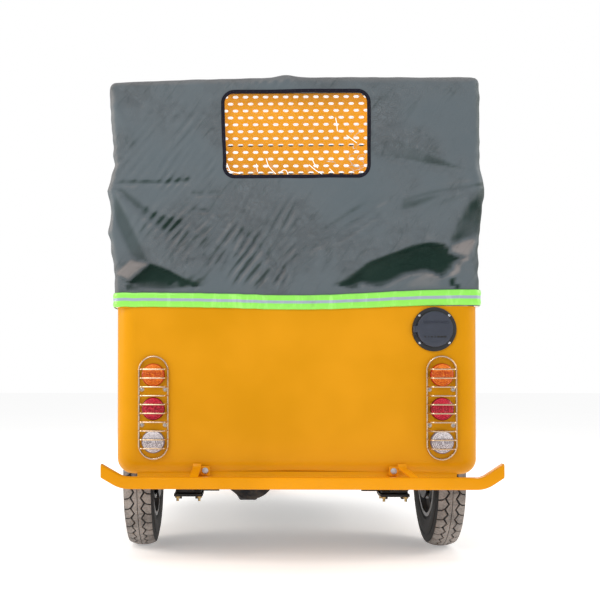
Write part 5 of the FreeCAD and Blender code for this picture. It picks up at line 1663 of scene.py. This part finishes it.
                # Rear face: painted shade where it turns down and right, painted highlight where it turns up and
                # left.
                slope = 0.45 * normal.x - 1.0 * normal.z
                painted_tone = 0.62 * ease(0.02, 0.45, slope) - 0.42 * ease(0.04, 0.40, -slope)
                if self.foot < spot.z < self.edge - 0.03:
                    # Painted shade in the pockets, painted highlight on the raised facets.
                    painted_tone += sum(patch.shade * patch.cover(spot.x, spot.z) for patch in REAR_PATCHES)
            elif abs(normal.z) < 0.7:
                # Sides near the rear: painted shade where they turn down, painted highlight where they turn up.
                near = 1.0 - ease(0.02, 0.16, spot.y - self.rear)
                painted_tone = near * (0.8 * ease(0.03, 0.4, -normal.z) - 0.8 * ease(-0.05, 0.25, normal.z))
            values.append(0.5 + 0.5 * min(max(painted_tone, -1.0), 1.0))
        marks.data.foreach_set("value", values)

    def _window_path(self, grow: float, wander: float = 0.0) -> list[Vector]:
        """Points round the window, a little wavy.

        Args:
            grow: Distance outside the window.
            wander: Height of the waves.

        Returns:
            The closed path.
        """
        middle = (self.window_low + self.window_high) / 2.0
        outline = rounded(self.window_half + grow, (self.window_high - self.window_low) / 2.0 + grow,
                          self.window_corner + grow, 10)
        path = []
        count = len(outline)
        for i in range(count):
            a, b = Vector(outline[i]), Vector(outline[(i + 1) % count])
            parts = max(int((b - a).length / 0.012), 1)
            path += [a.lerp(b, k / parts) for k in range(parts)]
        points = []
        for u, v in path:
            sway = wander * noise.noise(Vector((u * 9.0, v * 9.0, 23.0)))
            points.append(self.surface(u * (1.0 + sway), self.rear, middle + v * (1.0 + sway)))
        return points

    def binding(self) -> bpy.types.Object:
        """Tape sewn round the window, with its row of stitches.

        Returns:
            The object.
        """
        form = Form()
        path = self._window_path(0.006, 0.012)
        section = [(-0.0062, 0.0), (-0.0056, 0.0016), (-0.003, 0.0026), (0.003, 0.0026), (0.0056, 0.0016),
                   (0.0062, 0.0), (0.0056, -0.0016), (-0.0056, -0.0016)]
        form.sweep(path, section, BACK, looped=True)
        for start, end in zip(path[::2], path[1::2]):
            middle = (start + end) / 2.0 + BACK * 0.0028
            run = (end - start).normalized() * 0.0026
            form.wire([middle - run, middle + BACK * 0.0004, middle + run], 0.0005, 5, tint=1)
        return form.piece("window_tape", "body", [self.palette.binding, self.palette.black_plastic], "binding",
                          ["window_binding"])

    def pane(self) -> bpy.types.Object:
        """Clear sheet of the window, gently rippled and creased low down.

        Returns:
            The object.
        """
        form = Form()
        columns, rows = 72, 40
        grow = 0.004
        grid = []
        low, high = self.window_low - grow, self.window_high + grow
        depth = self.rear + 0.0035
        for j in range(rows + 1):
            z = low + (high - low) * j / rows
            line = []
            for i in range(columns + 1):
                x = (self.window_half + grow) * (2.0 * i / columns - 1.0)
                edge = min(self.window_half - abs(x), z - self.window_low, self.window_high - z)
                free = ease(0.0, 0.04, edge)
                swell = PANE_SLACK.lift(x, z) + PANE_CRINKLE.lift(x, z) * (1.0 - ease(1.37, 1.46, z))
                line.append(Vector((x, depth - free * swell, z)))
            grid.append(form.ring(line))
        form.skin(grid, closed=False)
        made = form.piece("window_pane", "body", [self.palette.vinyl], "clear_vinyl", ["rear_window_pane"])
        thicken(made, self.pane_sheet)
        # Crease lines in the lining finish: white creases of the vinyl, made to glow as painted highlight.
        creases = Form()
        for line in PANE_CREASES:
            points = smooth_path([Vector((x, depth - 0.0034, z)) for x, z in line], 0.012)
            creases.sweep(points, [(-0.0011, 0.0), (0.0, -0.0006), (0.0011, 0.0), (0.0, 0.0006)], BACK)
        creases.piece("pane_creases", "body", [self.palette.glowing_lining], "clear_vinyl")
        return made

    def strip(self) -> bpy.types.Object:
        """Reflective strip along the hood's lower edge, lime with a grey stripe.

        Returns:
            The object.
        """
        form = Form()
        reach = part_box("reflective_strip")[1].y
        half = self.knee_half
        run = self._steps(self.rear + self.corner.y, reach, 0.02)
        corner_steps = [i / 8.0 for i in range(1, 9)]
        plan: list[Pair] = [(-half, y) for y in reversed(run)]
        plan += [(-half, self.rear + self.corner.y * (1.0 - t)) for t in corner_steps]
        plan += [(x, self.rear) for x in self._steps(-half, half, 0.0115)[1:-1]]
        plan += [(half, self.rear + self.corner.y * t) for t in [0.0] + corner_steps]
        plan += [(half, y) for y in run[1:]]
        rows = []
        for share, swell in STRIP_SECTION:
            line = []
            for x, y in plan:
                sway = sum(form.lift(x, y) for form in STRIP_SWAY)
                base = self.foot - 0.001 - 0.012 * math.exp(-(x / 0.34) ** 2) + 0.003 * ease(0.1, 0.6, x)
                spot = self.surface(x, y, self.foot + 0.001)
                reach_in = Vector((min(max(spot.x, 0.1 - half), half - 0.1), max(spot.y, self.rear + 0.1), spot.z))
                out = spot - reach_in
                lift = swell + 0.0012 * noise.noise(Vector((x * 40.0, y * 40.0, share * 6.0)))
                away = out.normalized() * (0.0030 + max(lift, 0.0))
                tall = self.strip_width + 0.004 * ease(0.0, 0.5, x)
                line.append(Vector((spot.x + away.x, spot.y + away.y, base + sway + tall * share)))
            rows.append(form.ring(line))
        for k in range(len(rows) - 1):
            form.skin(rows[k:k + 2], closed=False, tint=1 if k == STRIPE_ROW else 0)
        made = form.piece("hem_strip", "body", [self.palette.lime, self.palette.stripe], "reflective",
                          ["reflective_strip"], 60.0)
        thicken(made, self.strip_sheet)
        return made

    def build(self) -> None:
        """Make the hood and what is sewn to it."""
        sheet = self.sheet()
        sewn = [self.binding(), self.pane(), self.strip()]


# Lower body

@dataclass
class LowerBody(Maker):
    """Plates of the bumper's stays and the rear sill."""

    plate_half: float = 0.016

    def __post_init__(self) -> None:
        """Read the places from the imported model."""
        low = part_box("rear_panel")[0]
        self.rear, self.bottom = low.y, low.z

    def fasteners(self) -> None:
        """Add the bolt plates of the bumper's stays on the rear panel."""
        form = Form()
        for x in (-0.318, 0.333):
            spot = Vector((x, self.rear - 0.0002, self.bottom + 0.016))
            form.plate(rounded(self.plate_half, self.plate_half, 0.003, 3), facing(spot, BACK), 0.004, 0.0008)
            form.bolt(spot + BACK * 0.004, BACK, 0.0052, 1)
        form.piece("stay_plates", "body", [self.palette.bumper, self.palette.zinc], "yellow_paint")

    def sill(self) -> None:
        """Fold the rear panel's lower lip."""
        form = Form()
        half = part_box("rear_panel")[1].x - 0.075
        deep = self.rear + 0.020
        section = [(-0.004, -0.012), (0.004, -0.012), (0.006, -0.009), (0.006, 0.012), (-0.006, 0.012),
                   (-0.006, -0.009)]
        form.sweep([Vector((-half, deep + 0.014, self.bottom)), Vector((0.0, deep, self.bottom)),
                    Vector((half, deep + 0.014, self.bottom))], section, UP)
        form.piece("rear_sill", "body", [self.palette.yellow], "yellow_paint")

    def build(self) -> None:
        """Dress the lower body."""
        self.fasteners()
        self.sill()


@dataclass
class Bumper(Maker):
    """Bent box-section bumper with rounded edges, turned-up ends and straps to the body."""

    level: float = 0.298
    face: float = 0.043
    depth: float = 0.040
    edge: float = 0.007
    tips: Pair = (-0.668, 0.688)
    tip_levels: Pair = (0.339, 0.342)
    bends: Pair = (-0.597, 0.622)
    sweep: float = 0.026
    strap: float = 0.0145
    sheet: float = 0.0035

    def build(self) -> None:
        """Sweep the beam, cut its ends upright and add its straps."""
        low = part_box("rear_bumper")[0]
        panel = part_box("rear_panel")[0].y
        middle_y = low.y + self.depth / 2.0
        corners = [Vector((x, middle_y, z)) for x, z in (
            (self.tips[0], self.tip_levels[0]), (self.bends[0], self.level),
            (self.bends[1], self.level), (self.tips[1], self.tip_levels[1]))]
        form = Form()
        section = rounded(self.depth / 2.0, self.face / 2.0, self.edge, 5)
        path = smooth_path(corners, self.sweep, 14)
        form.sweep(path, section, AHEAD)
        for tip, run, ring in ((self.tips[0], path[0] - path[1], form.points[:len(section)]),
                               (self.tips[1], path[-1] - path[-2], form.points[-len(section):])):
            for point in ring:
                point += run * ((tip - point.x) / run.x)
        top = self.level + self.face / 2.0
        for foot, head in ((-0.353, -0.346), (0.388, 0.362)):
            bends = [Vector((foot, middle_y - 0.004, top - 0.004)), Vector((foot, middle_y + 0.004, top + 0.001)),
                     Vector((head, panel - 0.010, top + 0.022)), Vector((head, panel - 0.003, top + 0.036))]
            form.sweep(smooth_path(bends, 0.009), rounded(self.strap, self.sheet, 0.0015, 3), UP)
        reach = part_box("rear_bumper")[1].y
        for x in (-0.330, 0.330):
            form.sweep([Vector((x, middle_y, self.level)), Vector((x, reach, self.level))],
                       rounded(0.0175, 0.015, 0.003, 3), UP)
        form.piece("bumper_beam", "body", [self.palette.bumper], "yellow_paint", ["rear_bumper"], 50.0)


# Lamps and port

class LensKind(Enum):
    """The three rear lamps."""

    AMBER = "amber"
    RED = "red"
    CLEAR = "clear"


@dataclass
class RearLamps(Maker):
    """Stacked round lamps behind wire guards."""

    spread: float = 0.498
    radius: float = 0.040
    heights: tuple[float, float, float] = (0.664, 0.547, 0.433)
    base: float = 0.008
    depth: float = 0.024
    wire: float = 0.0033
    guard_half: float = 0.0535
    guard_tall: float = 0.181
    standoff: float = 0.044
    rungs: int = 10
    top_rung: float = 0.0196
    rung_pitch: float = 0.0303
    bow_share: float = 0.82
    lens_rings: int = 34
    lens_steps: int = 72
    ring_pitch: float = 0.0042
    flute_pitch: float = 0.0052
    glow_pitch: float = 0.0056
    band_level: float = 0.004
    band_half: float = 0.009

    def __post_init__(self) -> None:
        """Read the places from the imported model."""
        self.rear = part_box("rear_panel")[0].y

    def _lens(self, form: Form, marks: list[float], x: float, z: float) -> None:
        """Add one domed lens with rings below and flutes across its middle.

        Args:
            form: Form that takes the lens.
            marks: Painted highlight of each point, which grows with the form.
            x: Place across.
            z: Height.
        """
        rings, steps = self.lens_rings, self.lens_steps
        rows = []
        base = self.rear - self.base
        for i in range(rings + 1):
            share = i / rings
            line = []
            r = self.radius * share
            for turn in turns(steps):
                u, v = polar(r, turn)
                dome = self.depth * math.sqrt(max(1.0 - (share * 0.93) ** 2, 0.0)) * 0.92
                in_band = abs(v - self.band_level) < self.band_half
                ripple = 0.0007 * math.sin(2.0 * math.pi * r / self.ring_pitch)
                flute = 0.0008 * math.sin(2.0 * math.pi * u / self.flute_pitch)
                bevel = flute if in_band else ripple
                fade = 1.0 - ease(0.86, 0.97, share)
                line.append(Vector((x + u, base - dome - bevel * fade, z + v)))
                # Painted highlights: bright rings and flutes, a brighter top, sparkle glints and a glint in the
                # middle.
                lit = 0.5 + 0.5 * math.sin(2.0 * math.pi * (u if in_band else r) / self.glow_pitch)
                painted_sparkle = max(noise.noise(Vector((u * 260.0, v * 260.0, x * 9.0 + z * 31.0))), 0.0)
                upper = ease(0.010, 0.018, v)
                glint = 0.10 + 0.25 * lit if in_band else 0.15 + 0.35 * upper + (0.75 - 0.2 * upper) * lit * lit
                marks.append(min(fade * (glint + 1.3 * painted_sparkle + 0.5 * math.exp(-(r / 0.004) ** 2)), 1.0))
            rows.append(form.ring(line))
        skirt = form.ring(Vector((x + u, base, z + v)) for u, v in circle(self.radius, steps))
        marks.extend([0.0] * steps)
        form.skin(rows + [skirt])

    def lenses(self) -> None:
        """Make the lenses, one piece for each colour."""
        finishes = {LensKind.AMBER: self.palette.amber, LensKind.RED: self.palette.red,
                    LensKind.CLEAR: self.palette.clear}
        for kind, z in zip(LensKind, self.heights):
            form = Form()
            marks: list[float] = []
            for side in SIDES:
                self._lens(form, marks, side * self.spread, z)
            name = kind.value
            made = form.piece(name + "_lenses", "body", [finishes[kind]], name + "_lens", [name + "_lamps"], 55.0)
            self._note(made.data, form.points, marks)

    @staticmethod
    def _note(mesh: bpy.types.Mesh, points: Sequence[Vector], marks: Sequence[float]) -> None:
        """Carry the painted highlights of the points over to the finished mesh.

        Args:
            mesh: Finished mesh.
            points: Points of the form.
            marks: Their painted highlights.
        """
        known = {tuple(round(c, 5) for c in p): m for p, m in zip(points, marks)}
        # The facet attribute holds the painted highlights.
        attribute = mesh.attributes.new("facet", "FLOAT", "POINT")
        attribute.data.foreach_set("value", [known.get(tuple(round(c, 5) for c in v.co), 0.0)
                                             for v in mesh.vertices])

    def backs(self) -> None:
        """Turn the lamps' round backs, which the lenses hide from behind."""
        form = Form()
        for side in SIDES:
            for z in self.heights:
                profile = [(0.0, 0.0), (0.0, self.radius - 0.001), (-self.base, self.radius - 0.0015),
                           (-self.base, 0.0)]
                form.lathe(profile, Vector((side * self.spread, self.rear, z)), AHEAD, 40)
        form.piece("lamp_backs", "body", [self.palette.black_plastic], "black_plastic", ["lamp_housings"])

    def guards(self) -> None:
        """Bend the wire guards."""
        form = Form()
        mid = (self.heights[0] + self.heights[-1]) / 2.0 + 0.002
        back = self.rear - 0.009
        front = self.rear - self.standoff + 0.002
        for side in SIDES:
            x = side * self.spread
            half = self.guard_half - self.wire
            form.wire([Vector((x + u, back, mid + v)) for u, v in
                       rounded(half, self.guard_tall - self.wire, half - 1e-4, 16)], self.wire, 10, looped=True)
            for i in range(self.rungs):
                z = self.heights[0] + self.top_rung - self.rung_pitch * i
                over = max(abs(z - mid) - (self.guard_tall - self.guard_half), 0.0)
                wide = math.sqrt(self.guard_half ** 2 - over ** 2) - self.wire
                bow = [Vector((x + wide * share, y, z)) for share, y in (
                    (-1.0, back + 0.001), (-self.bow_share, front), (self.bow_share, front), (1.0, back + 0.001))]
                form.wire(smooth_path(bow, 0.012, 5), self.wire * 0.82, 8)
            for z in (mid - 0.060, mid + 0.064):
                for edge in SIDES:
                    spot = Vector((x + edge * (self.guard_half - 0.013), self.rear, z))
                    form.plate(circle(0.0085, 20), facing(spot, BACK), 0.003, 0.0006)
                    form.screw(spot + BACK * 0.003, BACK, 0.0052, 1)
                    form.wire([Vector((spot.x + edge * 0.008, self.rear - 0.002, z)),
                               Vector((x + edge * (self.guard_half - self.wire), back, z))], self.wire * 0.9, 8)
        form.piece("wire_guards", "body", [self.palette.chrome, self.palette.zinc], "chrome", ["lamp_guards"])

    def build(self) -> None:
        """Dress the rear lamps."""
        self.lenses()
        self.guards()
        self.backs()


@dataclass
class ChargePort(Maker):
    """Round charging port with its flange, screws, flap and hinge."""

    x: float = 0.474
    z: float = 0.822
    flange: float = 0.076
    screw_ring: float = 0.0690
    lid: float = 0.062
    ridge_rise: float = 0.024
    dash_drop: float = 0.0265
    dash_pitch: float = 0.0112
    dashes: tuple[float, ...] = (0.0026, 0.0016, 0.0030, 0.0022, 0.0044, 0.0048, 0.0050)

    def __post_init__(self) -> None:
        """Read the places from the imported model."""
        self.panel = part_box("rear_panel")[0].y

    def fittings(self) -> None:
        """Add the flange's screws and the rolled edge round it."""
        form = Form()
        out = self.panel - 0.007
        for turn in (43.0, 137.0, 223.0, 317.0):
            u, v = polar(self.screw_ring, math.radians(turn))
            form.screw(Vector((self.x + u, out, self.z + v)), BACK, 0.0046)
        form.piece("port_screws", "body", [self.palette.zinc], "chrome")
        rim = Form()
        rim.lathe([(0.0, self.flange - 0.001), (-0.003, self.flange + 0.0006), (-0.0060, self.flange - 0.0006),
                   (-0.0064, self.flange - 0.003)], Vector((self.x, self.panel, self.z)), AHEAD, 72)
        rim.piece("port_rim", "body", [self.palette.black_plastic], "black_plastic")

    def flap(self) -> None:
        """Turn the flap with its ridge, the dashed relief and the hinge's knuckle."""
        low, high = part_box("charge_flap")
        form = Form()
        back = high.y - 0.0006
        face = low.y + 0.0038
        r = self.lid
        form.lathe([(back, 0.0), (back, r - 0.0005), (face + 0.003, r), (face + 0.001, r - 0.0012),
                    (face, r - 0.004), (face - 0.0004, r - 0.015), (face - 0.0012, 0.0)],
                   Vector((self.x, 0.0, self.z)), AHEAD, 96)
        ridge = [Vector((self.x + u, face - 0.0010, self.z + self.ridge_rise + 0.0006 * math.sin(u * 90.0)))
                 for u in (-0.038, -0.036, -0.02, 0.0, 0.02, 0.044, 0.046)]
        form.sweep(ridge, [(-0.0034, -0.002), (0.0034, -0.002), (0.0014, 0.0034), (-0.0010, 0.0034)], BACK)
        for k, width in enumerate(self.dashes):
            spot = Vector((self.x - 0.034 + self.dash_pitch * k, face - 0.0004, self.z - self.dash_drop))
            form.plate(rounded(width, 0.0023, 0.0014, 2), facing(spot, BACK), 0.0022, 0.0002, 1)
        hinge = Vector((low.x + 0.0055, (low.y + high.y) / 2.0, self.z))
        form.wire([hinge - UP * 0.0118, hinge, hinge + UP * 0.0118], 0.0053, 20)
        arm = [hinge, hinge + Vector((0.010, -0.0015, 0.0)), hinge + Vector((0.022, -0.001, 0.0))]
        form.sweep(arm, rounded(0.011, 0.0028, 0.001, 2), BACK)
        form.piece("flap_lid", "port_flap", [self.palette.plastic, self.palette.rubber], "black_plastic",
                   ["charge_flap"])

    def build(self) -> None:
        """Dress the port."""
        self.fittings()
        self.flap()


# Wheels

@dataclass
class Tyre(Maker):
    """Cross-ply tyre with a ribbed centre, shoulder blocks and beaded sidewalls."""

    node: str
    body: str
    blocks: int = 40
    groove: float = 0.0085
    tread_half: float = 0.044
    rib_half: float = 0.0225
    zig: float = 0.0130
    bead: float = 0.157
    crown_half: float = 0.046
    crown_drop: float = 0.010
    gap: float = 0.0030
    lean: float = 0.22

    def __post_init__(self) -> None:
        """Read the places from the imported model."""
        low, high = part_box(self.node)
        self.centre = (low + high) / 2.0
        self.radius = (high.z - low.z) / 2.0
        self.half = (high.x - low.x) / 2.0

    def outer(self, u: float) -> float:
        """Radius of the tread's surface at a lateral place."""
        return self.radius - 0.0005 - self.crown_drop * (abs(u) / self.crown_half) ** 2.2

    def spot(self, u: float, turn: float, deep: float) -> Vector:
        """Point of the tread."""
        r = self.outer(u) - deep
        return self.centre + Vector((u, *polar(r, turn)))

    def _block(self, form: Form, outline: Sequence[Pair]) -> None:
        """Add one raised block on an outline of lateral place and angle.

        Args:
            form: Form that takes the block.
            outline: Corners of the block.
        """
        count = len(outline)
        mid_u = sum(u for u, _ in outline) / count
        mid_t = sum(t for _, t in outline) / count
        top = [(mid_u + (u - mid_u) * 0.93, mid_t + (t - mid_t) * 0.93) for u, t in outline]
        rows = [form.ring(self.spot(u, t, self.groove + 0.001) for u, t in outline),
                form.ring(self.spot(u, t, 0.0012) for u, t in outline),
                form.ring(self.spot(u, t, 0.0) for u, t in top)]
        form.skin(rows)
        form.face(rows[-1])

    def tread(self, form: Form) -> None:
        """Add the centre rib's two notched halves and the shoulder blocks.

        Args:
            form: Form that takes the tread.
        """
        pitch = 2.0 * math.pi / self.blocks
        gap = self.gap / self.radius
        for k in range(self.blocks):
            at = pitch * k
            for side in SIDES:
                shift = 0.0 if side > 0.0 else pitch * 0.5
                inner, point = self.rib_half + 0.0055, self.rib_half - self.zig + 0.0065
                low, high = at + shift + gap, at + shift + pitch - gap
                middle = (low + high) / 2.0
                lean = pitch * self.lean
                self._block(form, [(side * inner, low), (side * point, middle), (side * inner, high),
                                   (side * self.tread_half * 0.80, high + lean * 0.6),
                                   (side * (self.tread_half + 0.005), high + lean),
                                   (side * (self.tread_half + 0.005), low + lean),
                                   (side * self.tread_half * 0.80, low + lean * 0.6)])
                start, edge = at + shift, side * (self.rib_half - 0.001)
                self._block(form, [(side * 0.0009, start), (edge, start),
                                   (side * (self.rib_half - self.zig), start + pitch / 2.0),
                                   (edge, start + pitch), (side * 0.0009, start + pitch)])

    def casing(self) -> Form:
        """Turn the casing with its beads and side ribs.

        Returns:
            The form.
        """
        form = Form()
        bead = self.bead
        base = self.radius - 0.0105
        half = self.half
        wall = [(0.0425, bead), (0.0440, bead + 0.010), (0.0490, bead + 0.020), (0.0505, bead + 0.022),
                (0.0505, bead + 0.025), (0.0525, bead + 0.034), (half - 0.0012, bead + 0.046), (half, bead + 0.057),
                (half - 0.001, bead + 0.067), (half - 0.0022, bead + 0.076), (half - 0.0008, bead + 0.0775),
                (half - 0.0010, bead + 0.0800), (half - 0.0040, bead + 0.0815), (0.0500, base - 0.0075),
                (0.0475, base - 0.002), (0.0430, base - 0.0012)]
        profile = [(-u, r) for u, r in wall] + [(-0.018, base + 0.0016), (0.018, base + 0.0016)] + wall[::-1]
        form.lathe(profile, self.centre, ACROSS, 120)
        return form

    def build(self) -> None:
        """Make the tyre."""
        tread = Form()
        self.tread(tread)
        tread.piece(self.node + "_tread", self.body, [self.palette.tread], "tyre_rubber", [self.node], 25.0)
        self.casing().piece(self.node + "_casing", self.body, [self.palette.carcass], "tyre_rubber", sharp=30.0)


@dataclass
class Wheel(Maker):
    """Painted pressed wheel with its nuts, hub cap and valve."""

    rim: str
    body: str
    outward: float
    stud_circle: float = 0.057
    nut_face: float = 0.0161
    half_track: float = 0.575

    def build(self) -> None:
        """Dress the wheel."""
        low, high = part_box(self.rim)
        centre = (low + high) / 2.0
        form = Form()
        axis = ACROSS * self.outward
        mid_x = centre.x if abs(centre.x) < 0.01 else math.copysign(self.half_track, centre.x)
        hub = Vector((mid_x, centre.y, centre.z))
        for turn in turns(4):
            spot = hub + Vector((self.nut_face * self.outward, *polar(self.stud_circle, math.pi / 4.0 + turn)))
            form.bolt(spot, axis, 0.0065)
        form.lathe([(0.034, 0.030), (0.040, 0.0295), (0.046, 0.024), (0.049, 0.014), (0.050, 0.0)], hub, axis, 32)
        valve = hub + Vector((0.0, 0.120, 0.046)) + axis * 0.018
        form.wire([valve, valve + axis * 0.016, valve + axis * 0.026 + UP * 0.003], 0.0034, 8, tint=1)
        form.piece(self.rim + "_fittings", self.body, [self.palette.zinc, self.palette.rubber], "chrome")


# Seats

@dataclass
class Cushion(Maker):
    """Stuffed seat piece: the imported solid's space, swollen by a cloth simulation and sewn across."""

    node: str
    channels: int
    up: Vector
    voxel: float = 0.009
    shrink: float = 0.011
    cap: float = 0.014
    pressure: float = 4.0
    frames: int = 20
    fill: float = 0.75
    stiffness: float = 12.0
    shear: float = 6.0
    channel_depth: float = 0.008
    channel_half: float = 0.010
    quilt_half: float = 0.07
    quilt_rise: float = 0.003

    def _start(self) -> bpy.types.Object:
        """Copy the solid, a little smaller, with an even skin.

        Returns:
            The copy.
        """
        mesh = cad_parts[self.node].data.copy()
        made = add_object(self.node + "_pad", mesh)
        mesh.materials.clear()
        work = bmesh.new()
        work.from_mesh(mesh)
        bmesh.ops.remove_doubles(work, verts=work.verts, dist=1e-5)
        bmesh.ops.recalc_face_normals(work, faces=work.faces)
        work.to_mesh(mesh)
        work.free()
        remesh = made.modifiers.new("skin", "REMESH")
        remesh.mode = "VOXEL"
        remesh.voxel_size = self.voxel
        self._apply(made, "skin")
        moved = [vertex.co - vertex.normal * self.shrink for vertex in made.data.vertices]
        self._place(made, moved)
        return made

    @staticmethod
    def _place(made: bpy.types.Object, points: Sequence[Vector]) -> None:
        """Move all of a mesh's points at once."""
        made.data.vertices.foreach_set("co", [part for point in points for part in point])
        made.data.update()

    @staticmethod
    def _apply(made: bpy.types.Object, name: str) -> None:
        """Apply one modifier of an object."""
        with bpy.context.temp_override(object=made, active_object=made, selected_objects=[made]):
            bpy.ops.object.modifier_apply(modifier=name)

    def _swell(self, made: bpy.types.Object) -> None:
        """Let pressure fill the pad, and cap how far it goes.

        Args:
            made: The pad's object.
        """
        rest = [vertex.co.copy() for vertex in made.data.vertices]
        cloth = made.modifiers.new("cloth", "CLOTH")
        cloth.settings.use_pressure = True
        cloth.settings.uniform_pressure_force = self.pressure
        cloth.settings.tension_stiffness = self.stiffness
        cloth.settings.compression_stiffness = self.stiffness
        cloth.settings.shear_stiffness = self.shear
        cloth.settings.effector_weights.gravity = 0.0
        cloth.collision_settings.use_collision = False
        cloth.point_cache.frame_end = self.frames
        for step in range(1, self.frames + 1):
            bpy.context.scene.frame_set(step)
        evaluated = made.evaluated_get(bpy.context.evaluated_depsgraph_get())
        moved = [vertex.co.copy() for vertex in evaluated.data.vertices]
        made.modifiers.remove(cloth)
        bpy.context.scene.frame_set(1)
        capped = []
        for old, new in zip(rest, moved):
            travel = new - old
            if travel.length > self.cap:
                travel *= self.cap / travel.length
            capped.append(old + travel)
        self._place(made, capped)

    def _sew(self, made: bpy.types.Object) -> None:
        """Pull in the channels and keep the pad in the space of its solid.

        Args:
            made: The pad's object.
        """
        low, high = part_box(self.node)
        width = high.x - low.x
        seams = [low.x + width * (k + 1) / (self.channels + 1) for k in range(self.channels)]
        sewn = []
        for vertex in made.data.vertices:
            near = min((abs(vertex.co.x - seam) for seam in seams), default=1.0)
            facing_up = ease(0.2, 0.8, vertex.normal.dot(self.up))
            crease = math.exp(-(near / self.channel_half) ** 1.4)
            quilt = 0.5 - 0.5 * math.cos(math.pi * min(near / self.quilt_half, 1.0))
            spot = vertex.co - self.up * facing_up * (self.channel_depth * crease - self.quilt_rise * quilt)
            sewn.append(Vector((min(max(spot.x, low.x), high.x), min(max(spot.y, low.y - 0.004), high.y + 0.004),
                                min(max(spot.z, low.z), high.z + 0.008))))
        self._place(made, sewn)

    def build(self) -> bpy.types.Object:
        """Make the pad.

        Returns:
            The object.
        """
        made = self._start()
        self._swell(made)
        self._sew(made)
        smooth = made.modifiers.new("smooth", "SUBSURF")
        smooth.levels = 1
        smooth.render_levels = 1
        shade_smooth(made.data)
        made.data.materials.append(self.palette.seat)
        settle(made, "body", [self.node])
        return made


@dataclass
class Seats(Maker):
    """Passenger bench and driver's seat."""

    lean: float = 12.0

    def build(self) -> None:
        """Make the cushions."""
        forward = Vector((0.0, *polar(1.0, math.radians(self.lean))))
        for node, channels, up in (("passenger_seat_cushion", 4, UP), ("passenger_backrest", 4, forward),
                                   ("driver_seat_cushion", 2, UP), ("driver_backrest", 2, AHEAD)):
            Cushion(self.palette, node, channels, up).build()


# Front and underside

@dataclass
class FrontEnd(Maker):
    """Headlamps and front indicators."""

    lamp_x: float = 0.320
    lamp_z: float = 0.770
    lens_radius: float = 0.0735
    lens_dome: float = 0.010

    def headlamps(self) -> None:
        """Make the headlamps' reflectors and lenses."""
        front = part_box("headlamps")[1].y
        form = Form()
        glass = Form()
        for side in SIDES:
            centre = Vector((side * self.lamp_x, front, self.lamp_z))
            form.lathe([(0.0015, 0.074), (0.001, 0.070), (-0.0002, 0.068), (-0.001, 0.0)], centre, AHEAD, 48)
            angles = [math.pi / 2.0 * k / 10.0 for k in range(11)]
            profile = [(0.0012 + self.lens_dome * math.cos(turn), self.lens_radius * math.sin(turn))
                       for turn in angles]
            glass.lathe(profile, centre, AHEAD, 48)
        form.piece("headlamp_reflectors", "body", [self.palette.mirror], "chrome")
        glass.piece("headlamp_lenses", "body", [self.palette.clear], "clear_lens")

    def indicators(self) -> None:
        """Make the front indicators' lenses again, because the rear ones replace their node."""
        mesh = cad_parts["amber_lamps"].data
        groups = [[v.co for v in mesh.vertices if v.co.y > 0.0 and v.co.x * side > 0.0] for side in SIDES]
        form = Form()
        for group in groups:
            low = [min(p[axis] for p in group) for axis in range(3)]
            high = [max(p[axis] for p in group) for axis in range(3)]
            back, front = low[1], high[1]
            spot = Vector(((low[0] + high[0]) / 2.0, 0.0, (low[2] + high[2]) / 2.0))
            form.lathe([(back + 0.004, 0.034), (front - 0.008, 0.034), (front - 0.003, 0.031), (front, 0.020),
                        (front + 0.001, 0.0)], spot, AHEAD, 40)
        form.piece("front_indicator_lenses", "body", [self.palette.amber], "amber_lens")

    def build(self) -> None:
        """Dress the front."""
        self.headlamps()
        self.indicators()


@dataclass
class Underside(Maker):
    """Cover of the axle's housing, and the saddles and nuts of the springs."""

    spring_x: float = 0.400

    def build(self) -> None:
        """Dress the underside."""
        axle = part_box("rear_axle")
        middle = (axle[0] + axle[1]) / 2.0
        cover = Form()
        dome = [(0.0, 0.080), (-0.006, 0.092), (-0.012, 0.092), (-0.016, 0.086), (-0.034, 0.072), (-0.046, 0.046),
                (-0.050, 0.0)]
        cover.lathe(dome, Vector((-0.158, axle[0].y + 0.004, middle.z + 0.004)), AHEAD, 48)
        cover.piece("axle_cover", "body", [self.palette.black_paint], "black_paint")
        hangers = Form()
        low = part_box("rear_suspension")[0].z
        for side in SIDES:
            x = side * self.spring_x
            saddle = Vector((x, middle.y - 0.002, low + 0.017))
            hangers.plate(rounded(0.056, 0.062, 0.006, 3), facing(saddle - UP * 0.006, UP), 0.011, 0.0015)
            for across in (-0.042, 0.042):
                for along in (-0.047, 0.047):
                    spot = Vector((x + across, middle.y + along, low + 0.012))
                    hangers.bolt(spot, -UP, 0.0058, 1)
                    hangers.wire([spot, spot - UP * 0.010, spot - UP * 0.020], 0.0052, 10, tint=1)
        hangers.piece("spring_saddles", "body", [self.palette.black_paint, self.palette.brass], "spring_steel")


def main() -> None:
    """Build the whole scene in order."""
    logging.basicConfig(level=logging.INFO, format="%(name)s: %(message)s")
    Studio().build()
    palette = Palette()
    dress_nodes(palette)
    Hood(palette).build()
    LowerBody(palette).build()
    Bumper(palette).build()
    RearLamps(palette).build()
    ChargePort(palette).build()
    for tyre, body in (("rear_tyre_left", "rear_wheel_left"), ("rear_tyre_right", "rear_wheel_right"),
                       ("front_tyre", "front_wheel")):
        Tyre(palette, tyre, body).build()
    for rim, body, outward in (("rear_rim_left", "rear_wheel_left", -1.0),
                               ("rear_rim_right", "rear_wheel_right", 1.0), ("front_rim", "front_wheel", 1.0)):
        Wheel(palette, rim, body, outward).build()
    Seats(palette).build()
    FrontEnd(palette).build()
    Underside(palette).build()


if __name__ == "__main__":
    main()
